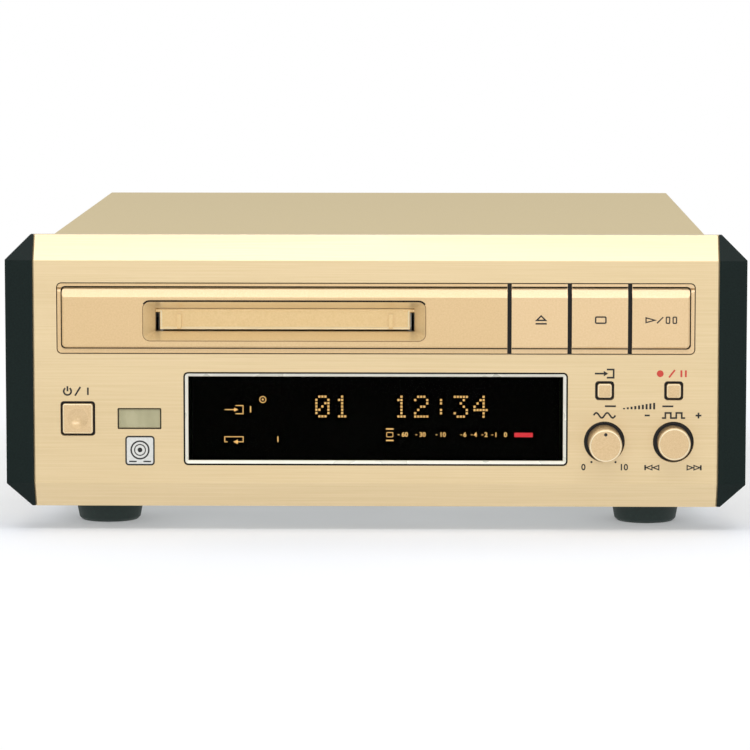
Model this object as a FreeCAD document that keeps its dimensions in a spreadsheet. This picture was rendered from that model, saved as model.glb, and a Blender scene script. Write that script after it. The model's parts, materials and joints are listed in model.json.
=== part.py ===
import FreeCAD, Part
import math
import os
import re
import Sketcher

# A half-width minidisc recorder: a brushed front panel between two moulded end caps, a pressed
# steel case on four feet, the circuit boards and power supply, and a slot-loading disc mechanism.
# Lengths are millimetres. X points to the right, Y to the back and Z up. The origin is on the
# surface that the feet stand on, in the middle of the width and of the whole length.
# Places along the length are given as a depth behind the front panel's face.

SIZES = {
    # the outside
    "overall_width": 217,
    "overall_height": 87.7,
    "body_length": 268,
    "knob_reach": 10,
    "jack_reach": 8,
    "small_gap": 0.2,
    "screw_gap": 0.1,
    "shaft_gap": 0.05,
    # front panel and end caps
    "panel_bottom": 7.5,
    "panel_wall": 2.5,
    "bevel_height": 7.3,
    "bevel_depth": 4.3,
    "bevel_wall": 2.9,
    "panel_end_edge": 0.5,
    "end_cap_width": 8,
    "end_cap_depth": 24,
    "end_cap_wall": 2,
    "corner_cut": 7.1,
    # case
    "cover_drop": 3.5,
    "cover_inset": 8.5,
    "cover_wall": 1,
    "cover_fold": 0.8,
    "cover_start": 8,
    "cover_rim": 9,
    "cover_bottom_gap": 0.5,
    "chassis_wall": 1,
    "chassis_lip": 12,
    "chassis_lip_start": 15,
    "rear_wall": 1,
    "rear_flange": 10,
    "rear_flange_side": 3,
    "foot_height": 10,
    "foot_top_width": 22,
    "foot_bottom_width": 18.4,
    "foot_edge": 0.8,
    "foot_inset": 19.3,
    "front_foot_depth": 31,
    "rear_foot_inset": 34,
    "foot_screw_width": 3,
    "foot_screw_head": 7,
    "foot_screw_length": 12,
    "foot_screw_rise": 2,
    "foot_recess": 4,
    "case_screw_width": 3,
    "case_screw_head": 5.6,
    "case_screw_rise": 1.6,
    "case_screw_grip": 3,
    "side_screw_front": 60,
    "side_screw_back": 215,
    "rim_screw_offset": 70,
    "rear_screw_grip": 8,
    "vent_width": 2,
    "vent_length": 20,
    "vent_spacing": 6,
    "vent_count": 14,
    "side_vent_depth": 140,
    "side_vent_level": 53,
    "floor_vent_left": -60,
    "floor_vent_depth": 141,
    # sub panel
    "sub_panel_wall": 2.5,
    "sub_panel_depth": 14,
    "sub_panel_margin": 1,
    "flange_start": 6.4,
    "flange_wall": 2,
    "rib_overlap": 0.5,
    # strip with the disc slot and the three transport buttons
    "strip_margin": 7,
    "strip_height": 21,
    "strip_drop": 24.25,
    "strip_gap": 0.3,
    "strip_corner": 1.5,
    "rim_width": 1,
    "groove_width": 0.4,
    "groove_depth": 0.8,
    "pad_proud": 1,
    "pad_top_bevel": 2.8,
    "pad_corner": 1.2,
    "pad_lift": 0.25,
    "pad_edge": 0.45,
    "play_button_width": 18.5,
    "transport_pitch": 17.6,
    "transport_gap": 1.25,
    "slot_place": -26.7,
    "slot_width": 82.6,
    "slot_height": 11.35,
    "slot_corner": 2,
    "throat_width": 76.2,
    "throat_height": 6.9,
    "throat_drop": 0.8,
    "funnel_depth": 4.6,
    "sleeve_wall": 3.5,
    "sleeve_end": 10,
    "flap_wall": 1,
    "flap_pin_width": 1.2,
    "flap_pin_seat": 1.8,
    "flap_gap": 1.3,
    "flap_hang": 0.3,
    "flap_clearance": 0.55,
    "flap_setback": 0.6,
    "flap_rib_height": 0.7,
    "flap_rib_width": 1.2,
    "flap_rib_inset": 5.7,
    # display and remote windows
    "window_side": 45.5,
    "window_height": 24.8,
    "window_drop": 0,
    "window_chamfer": 1.1,
    "window_recess": 1.2,
    "window_lip": 3,
    "window_back": 4.5,
    "remote_inset": 31.2,
    "remote_width": 12.3,
    "remote_height": 5.6,
    "remote_lip": 1,
    "remote_lip_wall": 1.5,
    "remote_recess": 0.3,
    "sensor_width": 8,
    "sensor_height": 9,
    "sensor_start": 6.5,
    "sensor_lens_width": 5,
    "tube_margin": 3,
    "tube_edge": 1.8,
    "tube_wall": 5,
    "tube_gap": 0.5,
    "tube_corner": 0.8,
    "tube_frame": 2,
    "tube_ledge": 3,
    # buttons and knobs
    "button_proud": 0.8,
    "button_back": 1.6,
    "standby_inset": 13.1,
    "standby_opening": 10.2,
    "standby_width": 8.8,
    "dimple_width": 6,
    "dimple_depth": 0.6,
    "small_button_opening": 5.6,
    "small_button_width": 4.1,
    "small_button_rise": 8.5,
    "button_corner": 1,
    "button_edge": 0.35,
    "stem_width": 3,
    "stem_end": 6.9,
    "knob_inset": 33.4,
    "jog_inset": 13.2,
    "knob_drop": 6.6,
    "knob_well": 12,
    "knob_width": 9.8,
    "knob_front_width": 9.6,
    "jog_width": 9.5,
    "jog_reach": 6,
    "knob_back": 1.7,
    "knob_edge": 0.5,
    "shaft_width": 6,
    "shaft_end": 9,
    "bushing_width": 8,
    "bushing_start": 3,
    "control_width": 12.5,
    "control_start": 7.5,
    # front board
    "board_wall": 1.6,
    "front_board_depth": 12,
    "front_board_side": 4,
    "front_board_bottom": 14,
    "front_board_step_drop": 13.8,
    "front_board_top_drop": 5.2,
    "front_board_overlap": 2,
    "switch_width": 6,
    "switch_height": 3.4,
    "switch_nub": 3.2,
    "switch_nub_height": 0.7,
    "post_width": 5,
    "small_screw_width": 2,
    "small_screw_head": 4.4,
    "small_screw_rise": 1.4,
    "small_screw_length": 6,
    "standoff_width": 6,
    "standoff_inset": 5,
    "standoff_front_inset": 6,
    "standoff_rear_inset": 26,
    # boards and power supply
    "board_rise": 6,
    "main_board_side": 5.6,
    "main_board_gap": 0.6,
    "main_board_clearance": 5.4,
    "main_board_front": 22,
    "main_board_step": 112,
    "main_board_end": 264,
    "power_board_left": 46,
    "power_board_side": 5.4,
    "power_board_front": 60,
    "power_board_end": 184,
    "transformer_inset": 36,
    "transformer_depth": 218,
    "core_width": 48,
    "core_height": 40,
    "core_stack": 24,
    "core_leg": 8,
    "core_foot": 10,
    "core_foot_wall": 1.2,
    "core_foot_depth": 14,
    "winding_overhang": 8,
    "sink_length": 44,
    "sink_height": 28,
    "sink_wall": 2.5,
    "sink_fin": 7,
    "sink_inset": 10,
    "sink_place": 70,
    "fin_wall": 1.4,
    "chip_height": 2.4,
    "crystal_height": 3.6,
    "regulator_width": 10,
    "regulator_wall": 4.5,
    "regulator_height": 15,
    "regulator_lead": 5,
    "lead_width": 1,
    "small_capacitor_width": 6.3,
    "small_capacitor_height": 11,
    "middle_capacitor_width": 12.5,
    "middle_capacitor_height": 20,
    "large_capacitor_width": 16,
    "large_capacitor_height": 28,
    "cable_place": -20,
    "cable_inset": 6,
    "cable_level": 24,
    "cable_width": 24,
    "cable_wall": 0.3,
    "cable_bend": 5,
    "connector_width": 30,
    "connector_height": 4,
    "connector_reach": 3,
    # rear connectors
    "jack_inset": 18,
    "jack_pitch": 16,
    "jack_level": 32,
    "jack_sleeve_width": 8.3,
    "jack_bore_width": 3.4,
    "jack_hole_width": 11,
    "jack_collar": 1.2,
    "jack_bore_depth": 10,
    "jack_block_depth": 14,
    "optical_offset": 20,
    "optical_pitch": 15,
    "optical_width": 10,
    "optical_nose": 9,
    "optical_cavity": 7,
    "optical_flap": 8,
    "optical_flap_wall": 1.4,
    "optical_grip": 6,
    "optical_grip_width": 2,
    "optical_grip_height": 7,
    "optical_level": 25.6,
    "optical_depth": 12,
    "optical_plug_width": 6,
    "optical_screw_rise": 2,
    "control_jack_offset": 17,
    "control_jack_width": 9,
    "control_jack_bore": 3.6,
    "control_jack_depth": 9,
    "control_jack_nose": 6,
    "socket_proud": 0.8,
    "inlet_inset": 24,
    "inlet_level": 27,
    "inlet_width": 22,
    "inlet_height": 14,
    "inlet_depth": 16,
    "inlet_proud": 0.5,
    "inlet_flange_width": 26,
    "inlet_flange_height": 17,
    "inlet_flange_corner": 1.5,
    "inlet_cavity_width": 15.4,
    "inlet_cavity_height": 8.4,
    "inlet_cavity_depth": 11,
    "inlet_pin_width": 2.4,
    "inlet_pin_pitch": 8.6,
    "inlet_pin_length": 9,
    # disc mechanism
    "disc_depth": 50,
    "cartridge_width": 72.6,
    "cartridge_height": 5.6,
    "cartridge_reach": 34,
    "holder_start": 14.5,
    "holder_wall": 0.8,
    "holder_lip": 3,
    "holder_drop": 4.1,
    "drop": 5.5,
    "slider_travel": 12,
    "pin_width": 2.4,
    "pin_front_depth": 30,
    "pin_pitch": 40,
    "guide_wall": 1,
    "guide_gap": 0.6,
    "guide_half": 6,
    "base_drop": 11.7,
    "base_wall": 1.5,
    "base_reach_left": 45.3,
    "base_reach_right": 62.7,
    "base_start": 18,
    "base_end": 112,
    "damper_height": 5.8,
    "damper_width": 9,
    "damper_inset": 5,
    "damper_front_inset": 11,
    "damper_rear_inset": 10,
    "bracket_wall": 1.2,
    "bracket_flange": 12,
    "bracket_foot": 9,
    "bracket_start": 24,
    "bracket_end": 108,
    "bracket_screw_front": 24,
    "bracket_screw_back": 8,
    "turntable_width": 16,
    "turntable_rise": 3,
    "turntable_height": 3.2,
    "spindle_width": 1.5,
    "hub_width": 4,
    "spindle_motor_width": 17.6,
    "spindle_motor_height": 6.5,
    "lens_start": 15,
    "sled_travel": 16,
    "sled_inner": 6,
    "sled_outer": 9.5,
    "sled_length": 26,
    "sled_drop": 3,
    "sled_rise": 5,
    "lens_width": 4,
    "rod_width": 2,
    "rod_spacing": 22,
    "rod_rise": 3.2,
    "screw_offset": 19,
    "screw_drop": 3.5,
    "lead_screw_width": 2,
    "sled_motor_width": 7,
    "sled_motor_length": 16,
    "arm_clearance": 4,
    "arm_rise": 21,
    "arm_wall": 1.2,
    "arm_tail": 6,
    "arm_cheek": 1,
    "arm_pivot_rise": 18,
    "arm_pin_width": 1.5,
    "head_size": 6,
    "head_drop": 1.6,
    "gear_module": 0.5,
    "pinion_teeth": 12,
    "wheel_teeth": 24,
    "motor_teeth": 11,
    "rack_teeth": 20,
    "gear_backlash": 0.2,
    "gear_depth": 60,
    "rack_flange": 5,
    "slider_wall": 1,
    "slider_start": 14,
    "slider_end": 86,
    "rack_wall": 1.4,
    "loading_motor_width": 12,
    "loading_motor_height": 16,
}

# Places and lengths worked out from the sizes. An expression may use their names as well.
WORKED_OUT = {
    "front_plane": "(knob_reach - body_length - jack_reach) / 2",
    "panel_half": "overall_width / 2 - end_cap_width",
    "cover_half": "overall_width / 2 - cover_inset",
    "inside_half": "cover_half - cover_wall",
    "cover_top": "overall_height - cover_drop",
    "cover_under": "cover_top - cover_wall",
    "floor_top": "foot_height + chassis_wall",
    "rear_face": "body_length - cover_wall",
    "rear_inside": "rear_face - rear_wall",
    "foot_half": "cover_half - foot_inset",
    "rear_foot_depth": "body_length - rear_foot_inset",
    "case_hole": "case_screw_width + 2 * screw_gap",
    # front
    "sub_panel_back": "panel_wall + sub_panel_wall",
    "strip_half": "panel_half - strip_margin",
    "strip_level": "overall_height - strip_drop",
    "strip_bottom": "strip_level - strip_height / 2",
    "play_button_left": "strip_half - play_button_width",
    "throat_level": "strip_level - throat_drop",
    "flap_half": "throat_width / 2 - flap_gap",
    "flap_axis_depth": "funnel_depth + flap_setback + flap_wall / 2",
    "flap_axis_level": "throat_level + throat_height / 2 - flap_wall / 2 - flap_hang",
    "pad_half": "strip_half - strip_gap - rim_width - groove_width",
    "pad_level": "strip_level + pad_lift",
    "pad_height": "strip_height - 2 * (strip_gap + rim_width + groove_width)",
    "window_width": "2 * (panel_half - window_side)",
    "window_level": "(panel_bottom + bevel_height + strip_bottom) / 2 - window_drop",
    "tube_width": "window_width - 2 * tube_margin",
    "tube_height": "window_height - 2 * tube_edge",
    "remote_place": "remote_inset - panel_half",
    "standby_place": "standby_inset - panel_half",
    "standby_level": "window_level",
    "knob_place": "panel_half - knob_inset",
    "jog_place": "panel_half - jog_inset",
    "knob_level": "window_level - knob_drop",
    "small_button_level": "window_level + small_button_rise",
    "front_board_half": "inside_half - front_board_side",
    "front_board_step": "throat_level - front_board_step_drop",
    "front_board_top": "cover_under - front_board_top_drop",
    "front_board_inner": "play_button_left - 2 * transport_pitch - front_board_overlap",
    "front_board_back": "front_board_depth + board_wall",
    # disc mechanism
    "cartridge_end": "disc_depth + cartridge_reach",
    "holder_bottom": "throat_level - holder_drop",
    "holder_inside_bottom": "holder_bottom + holder_wall",
    "holder_inside_top": "holder_inside_bottom + cartridge_height",
    "holder_top": "holder_inside_top + holder_wall",
    "holder_half": "cartridge_width / 2 + holder_wall",
    "pin_level": "holder_inside_bottom + cartridge_height / 2",
    "guide_inside": "holder_half + guide_gap",
    "guide_outside": "guide_inside + guide_wall",
    "base_level": "holder_bottom - base_drop",
    "base_top": "base_level + base_wall",
    "base_left": "slot_place - base_reach_left",
    "base_right": "slot_place + base_reach_right",
    "bracket_left": "base_left - 2 * bracket_wall",
    "bracket_right": "base_right + 2 * bracket_wall",
    "turntable_level": "base_level + turntable_rise",
    "sled_bottom": "base_level - sled_drop",
    "sled_top": "base_level + sled_rise",
    "rod_level": "base_level + rod_rise",
    "screw_depth": "disc_depth + screw_offset",
    "screw_level": "base_level - screw_drop",
    "arm_depth": "cartridge_end + arm_clearance",
    "arm_level": "base_level + arm_rise",
    "arm_pivot_level": "base_level + arm_pivot_rise",
    "lens_place": "slot_place - lens_start",
    "slider_inside": "slot_place + guide_outside + small_gap",
    "slider_outside": "slider_inside + slider_wall",
    "pitch_line": "slider_outside + rack_flange",
    "gear_place": "pitch_line + gear_module * pinion_teeth / 2",
    "motor_place": "gear_place + gear_module * (wheel_teeth + motor_teeth) / 2",
    # boards and rear
    "board_under": "floor_top + board_rise",
    "board_top": "board_under + board_wall",
    "main_board_left": "main_board_side - cover_half",
    "main_board_waist": "base_left",
    "main_board_right": "bracket_right - bracket_wall - main_board_gap",
    "main_board_rear_right": "transformer_place - core_width / 2 - main_board_clearance",
    "power_board_right": "cover_half - power_board_side",
    "transformer_place": "cover_half - transformer_inset",
    "jack_left": "jack_inset - cover_half",
    "optical_left": "jack_left + jack_pitch + optical_offset",
    "control_jack_place": "optical_left + optical_pitch + control_jack_offset",
    "inlet_place": "cover_half - inlet_inset",
}

PIN_DEPTHS = ("pin_front_depth", "(pin_front_depth + pin_pitch)")
FOOT_PLACES = [(f"{side}foot_half", depth)
               for depth in ("front_foot_depth", "rear_foot_depth") for side in ("-", "")]

doc = FreeCAD.newDocument("MinidiscDeck")
sheet = doc.addObject("Spreadsheet::Sheet", "Sizes")
for row, (alias, size) in enumerate(SIZES.items(), start=1):
    sheet.set(f"A{row}", alias)
    sheet.set(f"B{row}", str(size))
    sheet.setAlias(f"B{row}", alias)
doc.recompute()

PIECES = []


# Helpers: expressions

def named(expression):
    """The expression with worked-out names written out and each size pointed at its cell."""
    def write_out(word):
        if word.group() in WORKED_OUT:
            return f"({named(WORKED_OUT[word.group()])})"
        return f"Sizes.{word.group()}" if word.group() in SIZES else word.group()
    return re.sub(r"[a-z][a-z_]*", write_out, expression)


def size_of(expression):
    """The number that an expression has now."""
    result = sheet.evalExpression(named(expression))
    return float(getattr(result, "Value", result))


# Helpers: shapes drawn in a sketch. Each returns a function that draws into the sketch it is given.

def hold(sketch, kind, expression, *where):
    """Add a driving constraint bound to the sheet."""
    number = sketch.addConstraint(Sketcher.Constraint(kind, *where, size_of(expression)))
    sketch.setExpression(f"Constraints[{number}]", named(expression))


def hold_point(sketch, geometry, end, across, along):
    """Hold one point of a curve at a place, on the axis itself where that place is zero."""
    origin, across_axis, along_axis = -1, -1, -2
    if abs(size_of(across)) < 1e-9:
        sketch.addConstraint(Sketcher.Constraint("PointOnObject", geometry, end, along_axis))
    else:
        hold(sketch, "DistanceX", across, origin, 1, geometry, end)
    if abs(size_of(along)) < 1e-9:
        sketch.addConstraint(Sketcher.Constraint("PointOnObject", geometry, end, across_axis))
    else:
        hold(sketch, "DistanceY", along, origin, 1, geometry, end)


def polygon(*corners):
    """Straight edges through the corners, each a pair of expressions."""
    def draw(sketch):
        points = [FreeCAD.Vector(size_of(x), size_of(y), 0) for x, y in corners]
        lines = [sketch.addGeometry(Part.LineSegment(start, end))
                 for start, end in zip(points, points[1:] + points[:1])]
        for line, following in zip(lines, lines[1:] + lines[:1]):
            sketch.addConstraint(Sketcher.Constraint("Coincident", line, 2, following, 1))
        for line, (x, y) in zip(lines, corners):
            hold_point(sketch, line, 1, x, y)
    return draw


def corners_of(left, bottom, right, top):
    """A rectangle between two opposite corners."""
    return polygon((left, bottom), (right, bottom), (right, top), (left, top))


def box(x, y, width, height):
    """A rectangle about its middle."""
    return corners_of(f"({x}) - ({width}) / 2", f"({y}) - ({height}) / 2",
                      f"({x}) + ({width}) / 2", f"({y}) + ({height}) / 2")


def rounded_box(x, y, width, height, radius):
    """A rectangle about its middle with round corners."""
    def draw(sketch):
        round_size = size_of(radius)
        reach_x = size_of(width) / 2 - round_size
        reach_y = size_of(height) / 2 - round_size
        middle_x, middle_y = size_of(x), size_of(y)
        arcs = []
        for quarter, (sign_x, sign_y) in enumerate(((1, 1), (-1, 1), (-1, -1), (1, -1))):
            centre = FreeCAD.Vector(middle_x + sign_x * reach_x, middle_y + sign_y * reach_y, 0)
            circle_here = Part.Circle(centre, FreeCAD.Vector(0, 0, 1), round_size)
            start = quarter * math.pi / 2
            arcs.append(sketch.addGeometry(Part.ArcOfCircle(circle_here, start, start + math.pi / 2)))
        for index, arc in enumerate(arcs):
            following = arcs[(index + 1) % 4]
            line = sketch.addGeometry(Part.LineSegment(sketch.Geometry[arc].EndPoint,
                                                       sketch.Geometry[following].StartPoint))
            sketch.addConstraint(Sketcher.Constraint("Tangent", arc, 2, line, 1))
            sketch.addConstraint(Sketcher.Constraint("Tangent", line, 2, following, 1))
            sketch.addConstraint(Sketcher.Constraint("Vertical" if index % 2 else "Horizontal", line))
        for arc in arcs[1:]:
            sketch.addConstraint(Sketcher.Constraint("Equal", arcs[0], arc))
        hold(sketch, "Radius", radius, arcs[0])
        for arc, sign in ((arcs[0], "+"), (arcs[2], "-")):
            hold_point(sketch, arc, 3, f"({x}) {sign} (({width}) / 2 - ({radius}))",
                       f"({y}) {sign} (({height}) / 2 - ({radius}))")
    return draw


def circle(x, y, width):
    """A full circle about its centre."""
    def draw(sketch):
        centre = FreeCAD.Vector(size_of(x), size_of(y), 0)
        ring = sketch.addGeometry(Part.Circle(centre, FreeCAD.Vector(0, 0, 1), size_of(width) / 2))
        hold(sketch, "Diameter", width, ring)
        hold_point(sketch, ring, 3, x, y)
    return draw


def six_sided(x, y, width):
    """A hexagon about its centre, measured over its corners."""
    return polygon(*[(f"{x} + ({width}) / 2 * cos({turn})", f"{y} + ({width}) / 2 * sin({turn})")
                     for turn in range(30, 390, 60)])


def slot(start_x, start_y, end_x, end_y, width):
    """A round-ended slot between two centres."""
    def draw(sketch):
        start = FreeCAD.Vector(size_of(start_x), size_of(start_y), 0)
        end = FreeCAD.Vector(size_of(end_x), size_of(end_y), 0)
        radius = size_of(width) / 2
        heading = math.atan2(end.y - start.y, end.x - start.x)
        up = FreeCAD.Vector(0, 0, 1)
        quarter = math.pi / 2
        first = sketch.addGeometry(Part.ArcOfCircle(Part.Circle(start, up, radius),
                                                    heading + quarter, heading + 3 * quarter))
        last = sketch.addGeometry(Part.ArcOfCircle(Part.Circle(end, up, radius),
                                                   heading - quarter, heading + quarter))
        for here, there in ((first, last), (last, first)):
            line = sketch.addGeometry(Part.LineSegment(sketch.Geometry[here].EndPoint,
                                                       sketch.Geometry[there].StartPoint))
            sketch.addConstraint(Sketcher.Constraint("Tangent", here, 2, line, 1))
            sketch.addConstraint(Sketcher.Constraint("Tangent", line, 2, there, 1))
        hold(sketch, "Diameter", width, first)
        hold_point(sketch, first, 3, start_x, start_y)
        hold_point(sketch, last, 3, end_x, end_y)
    return draw


# Helpers: bodies and features. A direction is "across" (X), "depth" (Y) or "height" (Z), and a
# sketch for it is drawn in the other two, in the order X, Y, Z.

PLANES = {"across": "YZ_Plane", "depth": "XZ_Plane", "height": "XY_Plane"}
TURNING = {"across": ("XY_Plane", "H_Axis"), "depth": ("XY_Plane", "V_Axis"),
           "height": ("XZ_Plane", "V_Axis")}


def piece(label, across="0", depth="0", height="0"):
    """A body whose own zero is at a place across, behind the front face and above the floor."""
    body = doc.addObject("PartDesign::Body", label)
    body.Label = label
    body.setExpression("Placement.Base.x", named(across))
    body.setExpression("Placement.Base.y", named(f"front_plane + {depth}"))
    body.setExpression("Placement.Base.z", named(height))
    PIECES.append(body)
    return body


def sketch_on(body, role, place, shapes):
    """A sketch on one of the body's own planes, moved to a place along that plane's normal."""
    sketch = body.newObject("Sketcher::SketchObject", f"{body.Name}_sketch")
    plane = next(feature for feature in body.Origin.OriginFeatures if feature.Role == role)
    sketch.AttachmentSupport = [(plane, "")]
    sketch.MapMode = "FlatFace"
    sign = "-" if role == "XZ_Plane" else ""
    sketch.setExpression("AttachmentOffset.Base.z", named(f"{sign}({place})"))
    for draw in shapes:
        draw(sketch)
    return sketch


def solid(body, direction, start, end, *shapes):
    """Add material between two places along a direction."""
    pad = body.newObject("PartDesign::Pad", f"{body.Name}_pad")
    pad.Profile = sketch_on(body, PLANES[direction], start, shapes)
    pad.Reversed = direction == "depth"
    pad.setExpression("Length", named(f"({end}) - ({start})"))
    return pad


def hollow(body, direction, start, end, *shapes):
    """Take material away between two places along a direction."""
    pocket = body.newObject("PartDesign::Pocket", f"{body.Name}_pocket")
    begin = start if direction == "depth" else end
    pocket.Profile = sketch_on(body, PLANES[direction], begin, shapes)
    pocket.setExpression("Length", named(f"({end}) - ({start})"))
    return pocket


def turned(body, direction, *profile):
    """Add a solid of revolution, its profile given as pairs of radius and place along the axis."""
    role, axis = TURNING[direction]
    corners = [(along, radius) for radius, along in profile] if axis == "H_Axis" else profile
    revolution = body.newObject("PartDesign::Revolution", f"{body.Name}_turned")
    sketch = sketch_on(body, role, "0", [polygon(*corners)])
    revolution.Profile = sketch
    revolution.ReferenceAxis = (sketch, [axis])
    revolution.Angle = 360
    return revolution


def loft(body, direction, *sections, kind="Additive"):
    """Join outlines at different places, as material or as a cut."""
    sketches = [sketch_on(body, PLANES[direction], place, [shape]) for place, shape in sections]
    feature = body.newObject(f"PartDesign::{kind}Loft", f"{body.Name}_loft")
    feature.Profile = sketches[0]
    feature.Sections = sketches[1:]
    feature.Ruled = True
    return feature


def repeat_along(body, feature, axis, pitch, count):
    """Repeat a feature in a row along its sketch's own axis."""
    row = body.newObject("PartDesign::LinearPattern", f"{body.Name}_row")
    row.Originals = [feature]
    row.Direction = (feature.Profile[0], [axis])
    row.setExpression("Length", named(f"({pitch}) * ({count} - 1)"))
    row.Occurrences = int(size_of(f"{count}"))
    body.Tip = row
    return row


def repeat_round(body, feature, count):
    """Repeat a feature round its sketch's own origin."""
    ring = body.newObject("PartDesign::PolarPattern", f"{body.Name}_ring")
    ring.Originals = [feature]
    ring.Axis = (feature.Profile[0], ["N_Axis"])
    ring.Angle = 360
    ring.Occurrences = int(size_of(f"{count}"))
    body.Tip = ring
    return ring


def edges_where(body, test):
    """Names of the body's present edges that pass a test."""
    doc.recompute()
    return [f"Edge{number}" for number, edge in enumerate(body.Tip.Shape.Edges, start=1) if test(edge)]


def rounded(body, radius, test, kind="Fillet"):
    """Round or chamfer the edges that pass a test."""
    names = edges_where(body, test)
    base = body.Tip
    feature = body.newObject(f"PartDesign::{kind}", f"{body.Name}_{kind}")
    feature.Base = (base, names)
    feature.setExpression("Radius" if kind == "Fillet" else "Size", named(radius))
    return feature


def add_screws(body, direction, head, shank, head_width, shank_width, places):
    """Screws as separate solids: a round head and a plain six-sided shank in place of the thread."""
    solid(body, direction, *head, *[circle(x, y, head_width) for x, y in places])
    solid(body, direction, *shank, *[six_sided(x, y, shank_width) for x, y in places])


# Front panel, end caps and sub panel

KNOBS = (("level", "knob_place"), ("jog", "jog_place"))
SMALL_BUTTONS = (("input_button", "knob_place"), ("record_button", "jog_place"))


def make_front_panel():
    """A bevelled aluminium extrusion with the openings for all that shows through it."""
    body = piece("front_panel")
    inner = "((bevel_wall - panel_wall) * bevel_height / bevel_depth)"
    top, bottom = "overall_height", "panel_bottom"
    solid(body, "across", "-panel_half", "panel_half", polygon(
        ("bevel_depth", bottom),
        ("0", f"{bottom} + bevel_height"),
        ("0", f"{top} - bevel_height"),
        ("bevel_depth", top),
        ("bevel_depth + bevel_wall", top),
        ("panel_wall", f"{top} - bevel_height - {inner}"),
        ("panel_wall", f"{bottom} + bevel_height + {inner}"),
        ("bevel_depth + bevel_wall", bottom)))
    hollow(body, "depth", "0", "panel_wall",
           rounded_box("0", "strip_level", "2 * strip_half", "strip_height", "strip_corner"),
           rounded_box("standby_place", "standby_level", "standby_opening", "standby_opening",
                       "button_corner"),
           box("remote_place", "window_level", "remote_width", "remote_height"),
           *[circle(place, "knob_level", "knob_well") for _, place in KNOBS],
           *[rounded_box(place, "small_button_level", "small_button_opening",
                         "small_button_opening", "button_corner") for _, place in SMALL_BUTTONS])
    hollow(body, "depth", "0", "panel_wall", box("0", "window_level", "window_width", "window_height"))
    half_width, half_height = size_of("window_width / 2"), size_of("window_height / 2")
    level = size_of("window_level")

    def on_window_front(edge):
        middle = edge.BoundBox.Center
        return (abs(middle.y) < 1e-6 and edge.BoundBox.YLength < 1e-6
                and abs(middle.x) < half_width + 1e-6 and abs(middle.z - level) < half_height + 1e-6
                and (abs(abs(middle.x) - half_width) < 1e-6
                     or abs(abs(middle.z - level) - half_height) < 1e-6))

    rounded(body, "window_chamfer", on_window_front, kind="Chamfer")
    panel_end = size_of("panel_half")
    rounded(body, "panel_end_edge", kind="Chamfer",
            test=lambda edge: edge.BoundBox.XLength < 1e-6 and edge.BoundBox.YMin < 1e-6
            and abs(abs(edge.BoundBox.XMin) - panel_end) < 1e-6)


def make_end_cap(label, side):
    """A moulded cap that closes one end of the front, hollow towards the panel."""
    body = piece(label)
    sign = "-" if side < 0 else ""
    inner, outer = f"{sign}panel_half", f"{sign}(overall_width / 2)"
    cut = f"{sign}(overall_width / 2 - corner_cut)"
    top, bottom = "overall_height", "panel_bottom"
    solid(body, "depth", "0", "end_cap_depth", polygon(
        (inner, bottom), (cut, bottom), (outer, f"{bottom} + corner_cut"),
        (outer, f"{top} - corner_cut"), (cut, top), (inner, top)))
    left, right = (outer, inner) if side < 0 else (inner, outer)
    hollow(body, "across", left, right,
           polygon(("0", f"{top} - bevel_height"), ("bevel_depth", top), ("0", top)),
           polygon(("0", f"{bottom} + bevel_height"), ("0", bottom), ("bevel_depth", bottom)),
           polygon(("bevel_depth + bevel_wall", top), ("end_cap_depth", f"{top} - cover_drop"),
                   ("end_cap_depth", top)),
           polygon(("bevel_depth + bevel_wall", bottom), ("end_cap_depth", bottom),
                   ("end_cap_depth", "foot_height")))
    hollow_reach = f"{sign}(overall_width / 2 - end_cap_wall)"
    span = (hollow_reach, inner) if side < 0 else (inner, hollow_reach)
    front = "panel_wall + end_cap_wall"
    middle = f"(({top} + {bottom}) / 2)"
    hollow(body, "across", *span,
           corners_of(front, f"{bottom} + 2 * bevel_height", "end_cap_depth - end_cap_wall",
                      f"{middle} - end_cap_wall / 2"),
           corners_of(front, f"{middle} + end_cap_wall / 2", "end_cap_depth - end_cap_wall",
                      f"{top} - 2 * bevel_height"))


FRONT_POSTS = (("-front_board_half + post_width", "front_board_bottom + post_width / 2 + 1"),
               ("front_board_half - post_width / 2 - 1", "front_board_bottom + post_width / 2 + 0.5"),
               ("front_board_half - post_width / 2 - 1", "front_board_top - post_width / 2 - 1"),
               ("front_board_inner + post_width / 2 + 1", "front_board_top - post_width / 2 - 1"))
SMALL_STEMS = [("standby_place", "standby_level")] + [(place, "small_button_level")
                                                      for _, place in SMALL_BUTTONS]


def transport_edges(number):
    """Left and right edges of a transport button, counted from the play button leftwards."""
    left = f"(play_button_left - {number} * transport_pitch)"
    right = f"({left} + transport_pitch - transport_gap)" if number else "(strip_half - strip_gap)"
    return left, right


def transport_middle(number):
    """Where a transport button's stem stands."""
    return f"(play_button_left - {number} * transport_pitch + (transport_pitch - transport_gap) / 2)"


TRANSPORT = (("play_button", 0), ("stop_button", 1), ("eject_button", 2))
ALL_STEMS = SMALL_STEMS + [(transport_middle(number), "strip_level") for _, number in TRANSPORT]


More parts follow.
